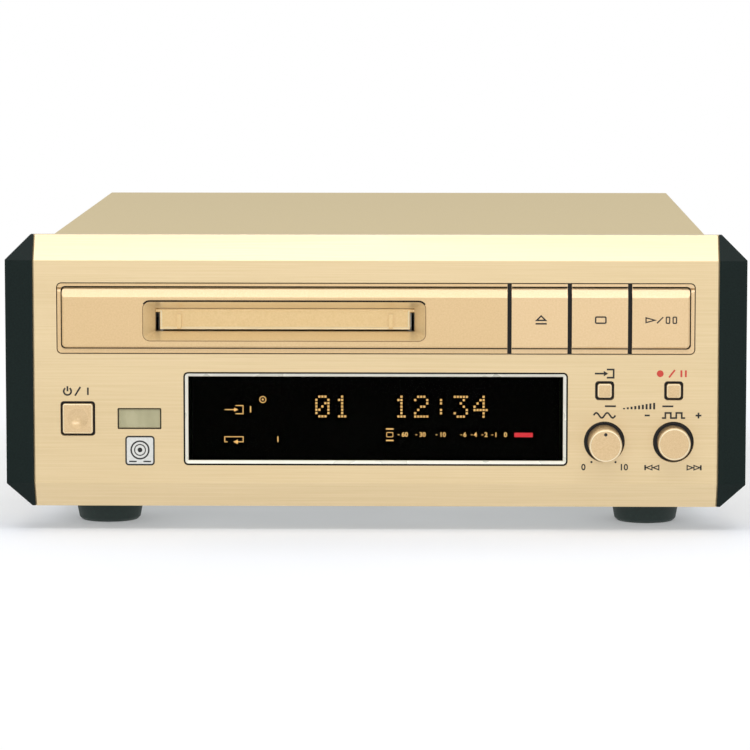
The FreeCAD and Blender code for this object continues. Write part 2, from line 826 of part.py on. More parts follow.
def make_sub_panel():
    """The moulding behind the panel: it guides the buttons and carries the front board."""
    body = piece("sub_panel")
    low = "(panel_bottom + bevel_height + sub_panel_margin)"
    high = "(overall_height - bevel_height - sub_panel_margin)"
    back = "sub_panel_back"
    solid(body, "across", "-inside_half", "inside_half", polygon(
        ("panel_wall", low), ("panel_wall", high),
        ("flange_start", "cover_under"), ("sub_panel_depth", "cover_under"),
        ("sub_panel_depth", "cover_under - flange_wall"),
        ("flange_start + rib_overlap", "cover_under - flange_wall"),
        (back, f"{high} - sub_panel_margin"), (back, f"{low} + sub_panel_margin"),
        ("flange_start + rib_overlap", "floor_top + flange_wall"),
        ("sub_panel_depth", "floor_top + flange_wall"),
        ("sub_panel_depth", "floor_top"), ("flange_start", "floor_top")))
    solid(body, "depth", "panel_wall", back,
          corners_of("-panel_half", low, "panel_half", high))
    solid(body, "depth", f"{back} - rib_overlap", "sub_panel_depth",
          corners_of("-inside_half", "floor_top + flange_wall", "-inside_half + flange_wall",
                     "cover_under - sub_panel_margin"),
          corners_of("inside_half - flange_wall", "floor_top + flange_wall", "inside_half",
                     "cover_under - sub_panel_margin"))
    solid(body, "depth", f"{back} - rib_overlap", "front_board_depth",
          *[circle(x, z, "post_width") for x, z in FRONT_POSTS])
    window_hole = box("0", "window_level", "window_width + 2 * window_lip + small_gap",
                      "window_height + 2 * window_lip + small_gap")
    hollow(body, "depth", "panel_wall", back, window_hole,
           box("slot_place", "throat_level", "throat_width + 2 * sleeve_wall + small_gap",
               "throat_height + 2 * sleeve_wall + small_gap"),
           box("remote_place", "window_level", "remote_width + 2 * remote_lip",
               "remote_height + 2 * remote_lip"),
           *[circle(place, "knob_level", "bushing_width + small_gap") for _, place in KNOBS],
           *[box(x, z, "stem_width + small_gap", "stem_width + small_gap") for x, z in ALL_STEMS])
    hollow(body, "depth", f"{back} + rib_overlap", "front_board_depth",
           *[circle(x, z, "small_screw_width + screw_gap") for x, z in FRONT_POSTS])


# The strip: slot fascia, flap and transport buttons

def strip_section(body, back):
    """The whole strip: a flush rim, a groove and a pad that stands proud with a bevel on top."""
    solid(body, "depth", "0", back,
          rounded_box("0", "strip_level", "2 * (strip_half - strip_gap)",
                      "strip_height - 2 * strip_gap", "strip_corner - strip_gap"))
    hollow(body, "depth", "0", "groove_depth",
           rounded_box("0", "pad_level", "2 * (pad_half + groove_width)",
                       "pad_height + 2 * groove_width", "pad_corner"))
    pad = rounded_box("0", "pad_level", "2 * pad_half", "pad_height", "pad_corner")
    solid(body, "depth", "pad_edge - pad_proud", "groove_depth", pad)
    loft(body, "depth", ("pad_edge - pad_proud", pad),
         ("-pad_proud", rounded_box("0", "pad_level", "2 * (pad_half - pad_edge)",
                                    "pad_height - 2 * pad_edge", "pad_corner - pad_edge")))
    top = "(pad_level + pad_height / 2)"
    hollow(body, "across", "-strip_half", "strip_half",
           polygon(("-pad_proud", f"{top} - pad_top_bevel"), ("groove_depth", top),
                   ("-pad_proud", top)))


def cut_strip(body, back, left=None, right=None):
    """Keep only the part of the strip between two places."""
    low, high = "strip_level - strip_height / 2 - 1", "strip_level + strip_height / 2 + 1"
    if left:
        hollow(body, "depth", "-pad_proud - 1", back,
               corners_of("-strip_half - 1", low, left, high))
    if right:
        hollow(body, "depth", "-pad_proud - 1", back,
               corners_of(right, low, "strip_half + 1", high))


def make_slot_fascia():
    """The fixed part of the strip, with the funnel and throat that the disc slides through."""
    body = piece("slot_fascia")
    strip_section(body, "panel_wall")
    eject_left, _ = transport_edges(2)
    cut_strip(body, "panel_wall", right=f"{eject_left} - transport_gap")
    solid(body, "depth", "panel_wall", "sleeve_end",
          box("slot_place", "throat_level", "throat_width + 2 * sleeve_wall",
              "throat_height + 2 * sleeve_wall"))
    loft(body, "depth",
         ("-pad_proud", rounded_box("slot_place", "throat_level", "slot_width", "slot_height",
                                    "slot_corner")),
         ("funnel_depth", rounded_box("slot_place", "throat_level", "throat_width",
                                      "throat_height", "small_gap")),
         kind="Subtractive")
    hollow(body, "depth", "funnel_depth", "sleeve_end",
           box("slot_place", "throat_level", "throat_width", "throat_height"))
    reach = "(throat_width / 2 + flap_pin_seat + small_gap)"
    hollow(body, "across", f"slot_place - {reach}", f"slot_place + {reach}",
           circle("flap_axis_depth", "flap_axis_level", "flap_pin_width + 2 * shaft_gap"))


def make_slot_flap():
    """The sprung door in the throat, hung on two pins along its top edge."""
    body = piece("slot_flap", across="slot_place", depth="flap_axis_depth", height="flap_axis_level")
    rise = "(throat_height - flap_wall / 2 - flap_hang - flap_clearance)"
    solid(body, "across", "-flap_half", "flap_half",
          corners_of("-flap_wall / 2", f"-{rise}", "flap_wall / 2", "flap_wall / 2"))
    pin_end = "(throat_width / 2 + flap_pin_seat)"
    solid(body, "across", f"-{pin_end}", pin_end, circle("0", "0", "flap_pin_width"))
    solid(body, "depth", "-flap_wall / 2 - flap_rib_height", "-flap_wall / 2",
          *[corners_of(f"{place} - flap_rib_width / 2", f"-{rise} + 2 * small_gap",
                       f"{place} + flap_rib_width / 2", "-flap_wall")
            for place in ("(flap_rib_inset - flap_half)", "(flap_half - flap_rib_inset)")])


def make_transport_button(label, number):
    """One transport button: its length of the strip and the stem that works its switch."""
    body = piece(label)
    strip_section(body, "button_back")
    left, right = transport_edges(number)
    cut_strip(body, "button_back", left=left, right=right if number else None)
    solid(body, "depth", "button_back", "stem_end",
          box(transport_middle(number), "strip_level", "stem_width", "stem_width"))


def make_square_button(label, across, level, width, dimpled=False):
    """A square cap on a stem, dished at the middle where it is a large one."""
    body = piece(label, across=across, height=level)
    solid(body, "depth", "-button_proud", "button_back",
          rounded_box("0", "0", width, width, "button_corner * 0.7"))
    front = size_of("-button_proud")
    rounded(body, "button_edge", kind="Chamfer", test=lambda edge: edge.BoundBox.YMax < front + 1e-6)
    solid(body, "depth", "button_back", "stem_end", box("0", "0", "stem_width", "stem_width"))
    if dimpled:
        ball = "((dimple_width * dimple_width / 4 + dimple_depth * dimple_depth) / (2 * dimple_depth))"
        sphere = body.newObject("PartDesign::SubtractiveSphere", f"{label}_dimple")
        plane = next(item for item in body.Origin.OriginFeatures if item.Role == "XZ_Plane")
        sphere.AttachmentSupport = [(plane, "")]
        sphere.MapMode = "FlatFace"
        sphere.setExpression("Radius", named(ball))
        sphere.setExpression("AttachmentOffset.Base.z",
                             named(f"button_proud + {ball} - dimple_depth"))


# Knobs, their controls and the front board

def make_knob(label, across, reach, width, front_width):
    """A turned knob with the stem that runs in its control."""
    body = piece(label, across=across, height="knob_level")
    turned(body, "depth",
           ("0", f"-{reach}"), (f"{front_width} / 2 - knob_edge", f"-{reach}"),
           (f"{front_width} / 2", f"-{reach} + knob_edge"), (f"{width} / 2", "knob_back"),
           ("shaft_width / 2", "knob_back"), ("shaft_width / 2", "shaft_end"), ("0", "shaft_end"))


def make_controls():
    """The potentiometer and the encoder: square cases with threaded bushings round the stems."""
    body = piece("rotary_controls", height="knob_level")
    places = [place for _, place in KNOBS]
    solid(body, "depth", "control_start", "front_board_depth",
          *[rounded_box(x, "0", "control_width", "control_width", "button_corner") for x in places])
    solid(body, "depth", "bushing_start", "control_start",
          *[circle(x, "0", "bushing_width") for x in places])
    hollow(body, "depth", "bushing_start", "shaft_end + small_gap",
           *[circle(x, "0", "shaft_width + 2 * shaft_gap") for x in places])


def make_front_board():
    """An L-shaped board behind the sub panel."""
    body = piece("front_board")
    solid(body, "depth", "front_board_depth", "front_board_back", polygon(
        ("-front_board_half", "front_board_bottom"), ("front_board_half", "front_board_bottom"),
        ("front_board_half", "front_board_top"), ("front_board_inner", "front_board_top"),
        ("front_board_inner", "front_board_step"), ("-front_board_half", "front_board_step")))
    hollow(body, "depth", "front_board_depth", "front_board_back",
           *[circle(x, z, "small_screw_width + 2 * screw_gap") for x, z in FRONT_POSTS])


def make_tact_switches():
    """A small switch on the front board behind each button's stem."""
    body = piece("tact_switches")
    solid(body, "depth", "front_board_depth - switch_height", "front_board_depth",
          *[box(x, z, "switch_width", "switch_width") for x, z in ALL_STEMS])
    solid(body, "depth", "front_board_depth - switch_height - switch_nub_height",
          "front_board_depth - switch_height", *[circle(x, z, "switch_nub") for x, z in ALL_STEMS])


def make_display():
    """The smoked window, the display tube behind it and the frame that holds the tube."""
    window = piece("display_window", height="window_level")
    solid(window, "depth", "window_recess", "panel_wall",
          box("0", "0", "window_width - small_gap", "window_height - small_gap"))
    solid(window, "depth", "panel_wall", "window_back",
          box("0", "0", "window_width + 2 * window_lip", "window_height + 2 * window_lip"))
    tube_front = "(window_back + tube_gap)"
    tube = piece("display_tube", height="window_level")
    solid(tube, "depth", tube_front, f"{tube_front} + tube_wall",
          rounded_box("0", "0", "tube_width", "tube_height", "tube_corner"))
    holder = piece("display_holder", height="window_level")
    solid(holder, "depth", f"{tube_front} + 1", "front_board_depth",
          box("0", "0", "tube_width + 2 * tube_frame", "tube_height + 2 * tube_frame"))
    hollow(holder, "depth", f"{tube_front} + 1", f"{tube_front} + tube_wall",
           box("0", "0", "tube_width + small_gap", "tube_height + small_gap"))
    hollow(holder, "depth", f"{tube_front} + tube_wall", "front_board_depth",
           box("0", "0", "tube_width - 2 * tube_ledge", "tube_height - 2 * tube_ledge"))


def make_remote_parts():
    """The tinted pane of the remote window and the receiver behind it."""
    window = piece("remote_window", across="remote_place", height="window_level")
    solid(window, "depth", "remote_recess", "panel_wall",
          box("0", "0", "remote_width - small_gap", "remote_height - small_gap"))
    solid(window, "depth", "panel_wall", "panel_wall + remote_lip_wall",
          box("0", "0", "remote_width + 2 * remote_lip - small_gap",
              "remote_height + 2 * remote_lip - small_gap"))
    sensor = piece("remote_sensor", across="remote_place", height="window_level")
    solid(sensor, "depth", "sensor_start", "front_board_depth",
          box("0", "0", "sensor_width", "sensor_height"))
    solid(sensor, "depth", "sensor_start - 1", "sensor_start", circle("0", "1", "sensor_lens_width"))


# Case: chassis, cover, rear panel and feet

STANDOFFS = (("main_board_waist + standoff_inset", "main_board_front + standoff_front_inset"),
             ("main_board_right - standoff_inset", "main_board_front + standoff_front_inset"),
             ("main_board_left + standoff_inset", "main_board_end - standoff_rear_inset"),
             ("main_board_rear_right - standoff_inset", "main_board_end - standoff_rear_inset"),
             ("power_board_left + standoff_inset", "power_board_front + standoff_inset"),
             ("power_board_right - standoff_inset", "power_board_front + standoff_inset"),
             ("power_board_left + standoff_inset", "power_board_end - standoff_inset"),
             ("power_board_right - standoff_inset", "power_board_end - standoff_inset"))
SIDE_SCREWS = [(depth, "floor_top + chassis_lip / 2")
               for depth in ("side_screw_front", "side_screw_back")]
RIM_SCREWS = [(f"{side}rim_screw_offset", "cover_under - cover_rim / 2") for side in ("-", "")]
REAR_SCREWS = (("(jack_left + jack_pitch / 2)", "(jack_level + jack_pitch / 2)"),
               ("(optical_left + optical_pitch / 2)", "optical_level + optical_screw_rise"))


def bracket_screws():
    """Places of the screws through the mechanism stands' feet."""
    places = []
    for edge, sign in (("bracket_left", "-"), ("bracket_right", "+")):
        for depth in ("bracket_start + bracket_screw_front", "bracket_end - bracket_screw_back"):
            places.append((f"{edge} {sign} bracket_foot / 2", depth))
    return places


def transformer_screws():
    """Places of the screws through the transformer's feet."""
    return [(f"transformer_place {sign} (core_width / 2 + core_foot / 2)", "transformer_depth")
            for sign in ("-", "+")]


def make_chassis():
    """The floor pan with its side lips, standoffs and air slots."""
    body = piece("chassis")
    solid(body, "height", "foot_height", "floor_top",
          corners_of("-inside_half", "cover_start", "inside_half", "rear_inside"))
    lip_top = "floor_top + chassis_lip"
    solid(body, "height", "foot_height", lip_top,
          corners_of("-inside_half", "chassis_lip_start", "-inside_half + chassis_wall",
                     "rear_inside"),
          corners_of("inside_half - chassis_wall", "chassis_lip_start", "inside_half",
                     "rear_inside"))
    solid(body, "height", "floor_top", "board_under",
          *[circle(x, y, "standoff_width") for x, y in STANDOFFS])
    hollow(body, "height", "foot_height", "floor_top",
           *[circle(x, y, "foot_screw_width + 2 * screw_gap") for x, y in FOOT_PLACES],
           *[circle(x, y, "case_hole") for x, y in bracket_screws()],
           *[circle(x, y, "case_hole") for x, y in transformer_screws()])
    vent = hollow(body, "height", "foot_height", "floor_top",
                  box("floor_vent_left", "floor_vent_depth", "vent_width", "vent_length"))
    repeat_along(body, vent, "H_Axis", "vent_spacing", "vent_count")
    hollow(body, "height", "floor_top + chassis_wall", "board_under",
           *[circle(x, y, "small_screw_width + screw_gap") for x, y in STANDOFFS])
    hollow(body, "across", "-inside_half", "inside_half",
           *[circle(y, z, "case_hole") for y, z in SIDE_SCREWS])


def make_top_cover():
    """A folded sheet over the top and both sides, with a rim turned in at the back."""
    body = piece("top_cover")
    low = "foot_height + cover_bottom_gap"
    solid(body, "depth", "cover_start", "body_length", polygon(
        ("-cover_half", low), ("-inside_half", low), ("-inside_half", "cover_under"),
        ("inside_half", "cover_under"), ("inside_half", low), ("cover_half", low),
        ("cover_half", "cover_top"), ("-cover_half", "cover_top")))
    solid(body, "depth", "rear_face", "body_length", polygon(
        ("-inside_half", low), ("-inside_half + cover_rim", low),
        ("-inside_half + cover_rim", "cover_under - cover_rim"),
        ("inside_half - cover_rim", "cover_under - cover_rim"),
        ("inside_half - cover_rim", low), ("inside_half", low),
        ("inside_half", "cover_under"), ("-inside_half", "cover_under")))
    hollow(body, "depth", "rear_face", "body_length",
           *[circle(x, z, "case_hole") for x, z in RIM_SCREWS])
    hollow(body, "across", "-cover_half", "cover_half",
           *[circle(y, z, "case_hole") for y, z in SIDE_SCREWS])
    vent = hollow(body, "across", "-cover_half", "cover_half",
                  box("side_vent_depth", "side_vent_level", "vent_width", "vent_length"))
    repeat_along(body, vent, "H_Axis", "vent_spacing", "vent_count")
    top = size_of("cover_top")
    rounded(body, "cover_fold",
            lambda edge: edge.BoundBox.YLength > 100 and edge.BoundBox.ZMin > top - 1e-6)


def make_rear_panel():
    """The back sheet with a flange on the floor and the connectors' holes."""
    body = piece("rear_panel")
    solid(body, "depth", "rear_inside", "rear_face",
          corners_of("-inside_half", "foot_height", "inside_half", "cover_under"))
    flange_start = "rear_inside - rear_flange"
    solid(body, "height", "floor_top", "floor_top + rear_wall",
          corners_of("rear_flange_side - inside_half", flange_start, "inside_half - rear_flange_side",
                     "rear_inside"))
    hollow(body, "depth", "rear_inside", "rear_face",
           *[circle(x, z, "jack_hole_width + small_gap") for x, z in JACKS],
           *[box(x, "optical_level", "optical_nose", "optical_nose") for x in OPTICAL_PORTS],
           circle("control_jack_place", "optical_level", "control_jack_nose + small_gap"),
           box("inlet_place", "inlet_level", "inlet_width + small_gap", "inlet_height + small_gap"),
           *[circle(x, z, "case_hole") for x, z in REAR_SCREWS],
           *[circle(x, z, "case_hole") for x, z in RIM_SCREWS])


def make_feet():
    """Four rubber feet with a recess for the screw's head."""
    body = piece("feet")
    shank, recess = "foot_screw_width + 2 * screw_gap", "foot_screw_head + 2 * small_gap"
    for x, y in FOOT_PLACES:
        loft(body, "height", ("0", circle(x, y, "foot_bottom_width - 2 * foot_edge")),
             ("foot_edge", circle(x, y, "foot_bottom_width")),
             ("foot_height", circle(x, y, "foot_top_width")))
    hollow(body, "height", "0", "foot_recess", *[circle(x, y, recess) for x, y in FOOT_PLACES])
    hollow(body, "height", "foot_recess", "foot_height", *[circle(x, y, shank) for x, y in FOOT_PLACES])


def make_screws():
    """All the screws, in groups that share a size and a job."""
    feet = piece("foot_screws")
    add_screws(feet, "height", ("foot_recess - foot_screw_rise", "foot_recess"),
               ("foot_recess", "foot_recess + foot_screw_length"), "foot_screw_head",
               "foot_screw_width", FOOT_PLACES)
    case = piece("case_screws")
    reach = "(inside_half - chassis_wall - case_screw_grip)"
    for head, shank in ((("-cover_half - case_screw_rise", "-cover_half"), ("-cover_half", f"-{reach}")),
                        (("cover_half", "cover_half + case_screw_rise"), (reach, "cover_half"))):
        add_screws(case, "across", head, shank, "case_screw_head", "case_screw_width", SIDE_SCREWS)
    add_screws(case, "depth", ("body_length", "body_length + case_screw_rise"),
               ("rear_inside - case_screw_grip", "body_length"), "case_screw_head",
               "case_screw_width", RIM_SCREWS)
    add_screws(case, "depth", ("rear_face", "rear_face + case_screw_rise"),
               ("rear_inside - rear_screw_grip", "rear_face"), "case_screw_head",
               "case_screw_width", REAR_SCREWS)
    boards = piece("board_screws")
    add_screws(boards, "height", ("board_top", "board_top + small_screw_rise"),
               ("board_top - small_screw_length", "board_top"), "small_screw_head",
               "small_screw_width", STANDOFFS)
    add_screws(boards, "depth", ("front_board_back", "front_board_back + small_screw_rise"),
               ("front_board_back - small_screw_length", "front_board_back"), "small_screw_head",
               "small_screw_width", FRONT_POSTS)
    floor = piece("chassis_screws")
    seat = "(floor_top + bracket_wall)"
    add_screws(floor, "height", (seat, f"{seat} + case_screw_rise"), ("foot_height - chassis_wall", seat),
               "case_screw_head", "case_screw_width", bracket_screws() + transformer_screws())


# Rear connectors

JACKS = [(f"(jack_left + {column} * jack_pitch)", f"(jack_level + {row} * jack_pitch)")
         for row in range(2) for column in range(2)]
OPTICAL_PORTS = ("optical_left", "(optical_left + optical_pitch)")


def make_jacks():
    """A block of four phono jacks: the plastic body and the plated sleeves."""
    block = piece("jack_block", across="jack_left + jack_pitch / 2", height="jack_level + jack_pitch / 2")
    half_height = "(jack_level + jack_pitch / 2 - board_top)"
    solid(block, "depth", "rear_inside - jack_block_depth", "rear_inside",
          corners_of("-jack_pitch", f"-{half_height}", "jack_pitch", "jack_pitch"))
    corners = [(x, z) for x in ("-jack_pitch / 2", "jack_pitch / 2")
               for z in ("-jack_pitch / 2", "jack_pitch / 2")]
    solid(block, "depth", "rear_inside", "rear_face + jack_collar",
          *[circle(x, z, "jack_hole_width") for x, z in corners])
    hollow(block, "depth", "rear_inside - jack_bore_depth", "rear_face + jack_collar",
           *[circle(x, z, "jack_bore_width") for x, z in corners],
           circle("0", "0", "case_hole"))
    sleeves = piece("jack_sleeves")
    solid(sleeves, "depth", "rear_face + jack_collar", "body_length + jack_reach",
          *[circle(x, z, "jack_sleeve_width") for x, z in JACKS])
    hollow(sleeves, "depth", "rear_face + jack_collar", "body_length + jack_reach",
           *[circle(x, z, "jack_bore_width") for x, z in JACKS])


def make_board_sockets():
    """Two square optical sockets with dust plugs, and a small round control socket."""
    ports = piece("board_sockets", height="optical_level")
    bottom = "(board_top - optical_level)"
    solid(ports, "depth", "rear_inside - optical_depth", "rear_inside",
          *[corners_of(f"{x} - optical_width / 2", bottom, f"{x} + optical_width / 2",
                       "optical_width / 2") for x in OPTICAL_PORTS],
          corners_of("control_jack_place - control_jack_width / 2", bottom,
                     "control_jack_place + control_jack_width / 2", "control_jack_width / 2"))
    solid(ports, "depth", "rear_inside", "rear_face + socket_proud",
          *[box(x, "0", "optical_nose - small_gap", "optical_nose - small_gap") for x in OPTICAL_PORTS],
          circle("control_jack_place", "0", "control_jack_nose"))
    hollow(ports, "depth", "rear_face - optical_cavity", "rear_face + socket_proud",
           *[box(x, "0", "optical_plug_width", "optical_plug_width") for x in OPTICAL_PORTS])
    hollow(ports, "depth", "rear_inside - control_jack_depth", "rear_face + socket_proud",
           circle("control_jack_place", "0", "control_jack_bore"))
    plugs = piece("optical_dust_plugs", height="optical_level")
    width = "(optical_plug_width - small_gap)"
    proud = "(rear_face + socket_proud)"
    solid(plugs, "depth", "rear_face - optical_cavity + rib_overlap", proud,
          *[box(x, "0", width, width) for x in OPTICAL_PORTS])
    solid(plugs, "depth", proud, f"{proud} + optical_flap_wall",
          *[box(x, "0", "optical_flap", "optical_flap") for x in OPTICAL_PORTS])
    solid(plugs, "depth", f"{proud} + optical_flap_wall", f"{proud} + optical_grip",
          *[box(x, "0", "optical_grip_width", "optical_grip_height") for x in OPTICAL_PORTS])


def make_mains_inlet():
    """A two-pole mains inlet: a moulded shroud with a figure-eight cavity and two pins."""
    body = piece("mains_inlet", across="inlet_place", height="inlet_level")
    start = "(body_length - inlet_depth)"
    solid(body, "depth", start, "body_length + inlet_proud", box("0", "0", "inlet_width", "inlet_height"))
    solid(body, "depth", "rear_face", "body_length + inlet_proud",
          rounded_box("0", "0", "inlet_flange_width", "inlet_flange_height", "inlet_flange_corner"))
    round_place = "((inlet_cavity_width - inlet_cavity_height) / 2)"
    hollow(body, "depth", "body_length + inlet_proud - inlet_cavity_depth", "body_length + inlet_proud",
           slot(f"-{round_place}", "0", round_place, "0", "inlet_cavity_height"))
    pins = piece("inlet_pins", across="inlet_place", height="inlet_level")
    cavity_end = "(body_length + inlet_proud - inlet_cavity_depth)"
    solid(pins, "depth", cavity_end, f"{cavity_end} + inlet_pin_length",
          *[circle(f"{sign}inlet_pin_pitch / 2", "0", "inlet_pin_width") for sign in ("-", "")])


# Boards and power supply

# Parts on the boards: places from a board's left and front edges and, for flat parts, their sizes
CHIPS = ((64, 38, 20, 20), (92, 40, 14, 14), (32, 34, 18, 11), (64, 80, 12, 8), (30, 78, 9, 16),
         (98, 84, 8, 14))
CRYSTALS = ((44, 56, 4, 11), (114, 58, 11, 4))
SMALL_CAPACITORS = ((10, 38), (10, 50), (10, 62), (22, 114), (32, 114), (42, 114), (108, 112),
                    (118, 112))
LARGE_CAPACITORS = ((12, 36), (12, 56))
MIDDLE_CAPACITORS = ((12, 78), (12, 96))


def make_boards():
    """The main and power boards and the chips and regulators on them."""
    main = piece("main_board")
    solid(main, "height", "board_under", "board_top", polygon(
        ("main_board_waist", "main_board_front"), ("main_board_right", "main_board_front"),
        ("main_board_right", "main_board_step"), ("main_board_rear_right", "main_board_step"),
        ("main_board_rear_right", "main_board_end"), ("main_board_left", "main_board_end"),
        ("main_board_left", "main_board_step"), ("main_board_waist", "main_board_step")))
    hole = "small_screw_width + 2 * screw_gap"
    hollow(main, "height", "board_under", "board_top", *[circle(x, y, hole) for x, y in STANDOFFS[:4]])
    power = piece("power_board")
    solid(power, "height", "board_under", "board_top",
          corners_of("power_board_left", "power_board_front", "power_board_right",
                     "power_board_end"))
    hollow(power, "height", "board_under", "board_top", *[circle(x, y, hole) for x, y in STANDOFFS[4:]])
    chips = piece("chips", height="board_top")
    solid(chips, "height", "0", "chip_height", *[on_board(*chip) for chip in CHIPS])
    solid(chips, "height", "0", "crystal_height", *[on_board(*crystal) for crystal in CRYSTALS])
    face = "(power_board_right - sink_inset - sink_wall / 2)"
    for sign in ("-", "+"):
        middle = f"(power_board_front + sink_place {sign} sink_length / 4)"
        solid(chips, "height", "regulator_lead", "regulator_lead + regulator_height",
              corners_of(f"{face} - regulator_wall", f"{middle} - regulator_width / 2", face,
                         f"{middle} + regulator_width / 2"))
        solid(chips, "height", "0", "regulator_lead",
              *[box(f"{face} - regulator_wall / 2", f"{middle} + {lead} * regulator_width / 4",
                    "lead_width", "lead_width") for lead in (-1, 0, 1)])


def on_board(x, y, width, length):
    """A part's outline on the main board's rear field."""
    return box(f"main_board_left + {x}", f"main_board_step + {y}", f"{width}", f"{length}")


def make_capacitors():
    """The electrolytic capacitors of both boards."""
    body = piece("capacitors", height="board_top")
    solid(body, "height", "0", "small_capacitor_height",
          *[circle(f"main_board_left + {x}", f"main_board_step + {y}", "small_capacitor_width")
            for x, y in SMALL_CAPACITORS])
    for places, width, height in (
            (LARGE_CAPACITORS, "large_capacitor_width", "large_capacitor_height"),
            (MIDDLE_CAPACITORS, "middle_capacitor_width", "middle_capacitor_height")):
        solid(body, "height", "0", height,
              *[circle(f"power_board_left + {x}", f"power_board_front + {y}", width)
                for x, y in places])


def make_cable():
    """The flat cable from the front board to the main board, and its two connectors."""
    plugs = piece("cable_connectors")
    solid(plugs, "height", "board_top", "board_top + connector_height",
          box("cable_place", "main_board_front + cable_inset", "connector_width", "connector_height"))
    solid(plugs, "depth", "front_board_back", "front_board_back + connector_reach",
          box("cable_place", "cable_level", "connector_width", "connector_height"))
    cable = piece("flat_cable", across="cable_place")
    start, end = "(front_board_back + connector_reach)", "(board_top + connector_height)"
    first, last = f"({start} + cable_bend / 2)", "(main_board_front + cable_inset - cable_bend / 2)"
    fall, bend = "(main_board_front + cable_inset)", f"({end} + cable_bend)"
    solid(cable, "across", "-cable_width / 2", "cable_width / 2", polygon(
        (start, "cable_level"), (first, "cable_level"), (last, bend),
        (f"{fall} - cable_wall", bend), (f"{fall} - cable_wall", end), (fall, end),
        (fall, f"{bend} + cable_wall"), (last, f"{bend} + cable_wall"),
        (first, "cable_level + cable_wall"), (start, "cable_level + cable_wall")))


def make_transformer():
    """A laminated core on two feet and the winding on its middle leg."""
    core = piece("transformer_core", across="transformer_place", depth="transformer_depth",
                 height="floor_top")
    solid(core, "depth", "-core_stack / 2", "core_stack / 2",
          corners_of("-core_width / 2", "0", "core_width / 2", "core_height"))
    window_height = "(core_height - 2 * core_leg)"
    hollow(core, "depth", "-core_stack / 2", "core_stack / 2",
           *[box(f"{sign}(core_width / 2 - core_leg * 1.5)", "core_height / 2", "core_leg", window_height)
             for sign in ("-", "")])
    solid(core, "height", "0", "core_foot_wall",
          box("0", "0", "core_width + 2 * core_foot", "core_foot_depth"))
    hollow(core, "height", "0", "core_foot_wall",
           *[circle(f"{sign}(core_width / 2 + core_foot / 2)", "0", "case_hole") for sign in ("-", "")])
    winding = piece("transformer_winding", across="transformer_place", depth="transformer_depth",
                    height="floor_top + core_height / 2")
    leg = "(core_width - 4 * core_leg)"
    reach = f"({window_height} / 2 - small_gap)"
    solid(winding, "height", f"-{reach}", reach,
          box("0", "0", f"{leg} + 2 * core_leg - 2 * small_gap", "core_stack + 2 * winding_overhang"))
    hollow(winding, "height", f"-{reach}", reach,
           box("0", "0", f"{leg} + 2 * small_gap", "core_stack + 2 * small_gap"))


def make_heat_sink():
    """A finned extrusion that the regulators are clamped to."""
    sink = piece("heat_sink", across="power_board_right - sink_inset",
                 depth="power_board_front + sink_place", height="board_top")
    solid(sink, "height", "0", "sink_height", box("0", "0", "sink_wall", "sink_length"))
    solid(sink, "height", "0", "sink_height",
          *[box("(sink_wall + sink_fin) / 2", f"{fin} * sink_length / 7", "sink_fin", "fin_wall")
            for fin in range(-3, 4)])


# Disc mechanism

def make_stands():
    """Two folded stands that lift the mechanism above the main board."""
    top = "(base_level - damper_height)"
    body = piece("mechanism_stands")
    for edge, outward, inward in (("bracket_left", "-", "+"), ("bracket_right", "+", "-")):
        foot = f"{edge} {outward} bracket_foot"
        web = f"{edge} {inward} bracket_wall"
        ledge = f"{web} {inward} bracket_flange"
        solid(body, "depth", "bracket_start", "bracket_end", polygon(
            (foot, "floor_top"), (web, "floor_top"), (web, f"{top} - bracket_wall"),
            (ledge, f"{top} - bracket_wall"), (ledge, top), (edge, top),
            (edge, "floor_top + bracket_wall"), (foot, "floor_top + bracket_wall")))
    hollow(body, "height", "floor_top", "floor_top + bracket_wall",
           circle(*FOOT_PLACES[0], "foot_screw_head"),
           *[circle(x, y, "case_hole") for x, y in bracket_screws()])
    hollow(body, "height", f"{top} - bracket_wall", top,
           corners_of("bracket_right - bracket_wall - bracket_flange - 1",
                      "gear_depth - loading_motor_width / 2 - 1",
                      "motor_place + loading_motor_width / 2 + 1",
                      "gear_depth + loading_motor_width / 2 + 1"))


DAMPERS = [(x, y) for x in ("(base_left + damper_inset)", "(base_right - damper_inset)")
           for y in ("(base_start + damper_front_inset)", "(base_end - damper_rear_inset)")]


def make_dampers():
    """Four rubber mounts under the mechanism's base."""
    body = piece("mechanism_dampers")
    solid(body, "height", "base_level - damper_height", "base_level",
          *[circle(x, y, "damper_width") for x, y in DAMPERS])


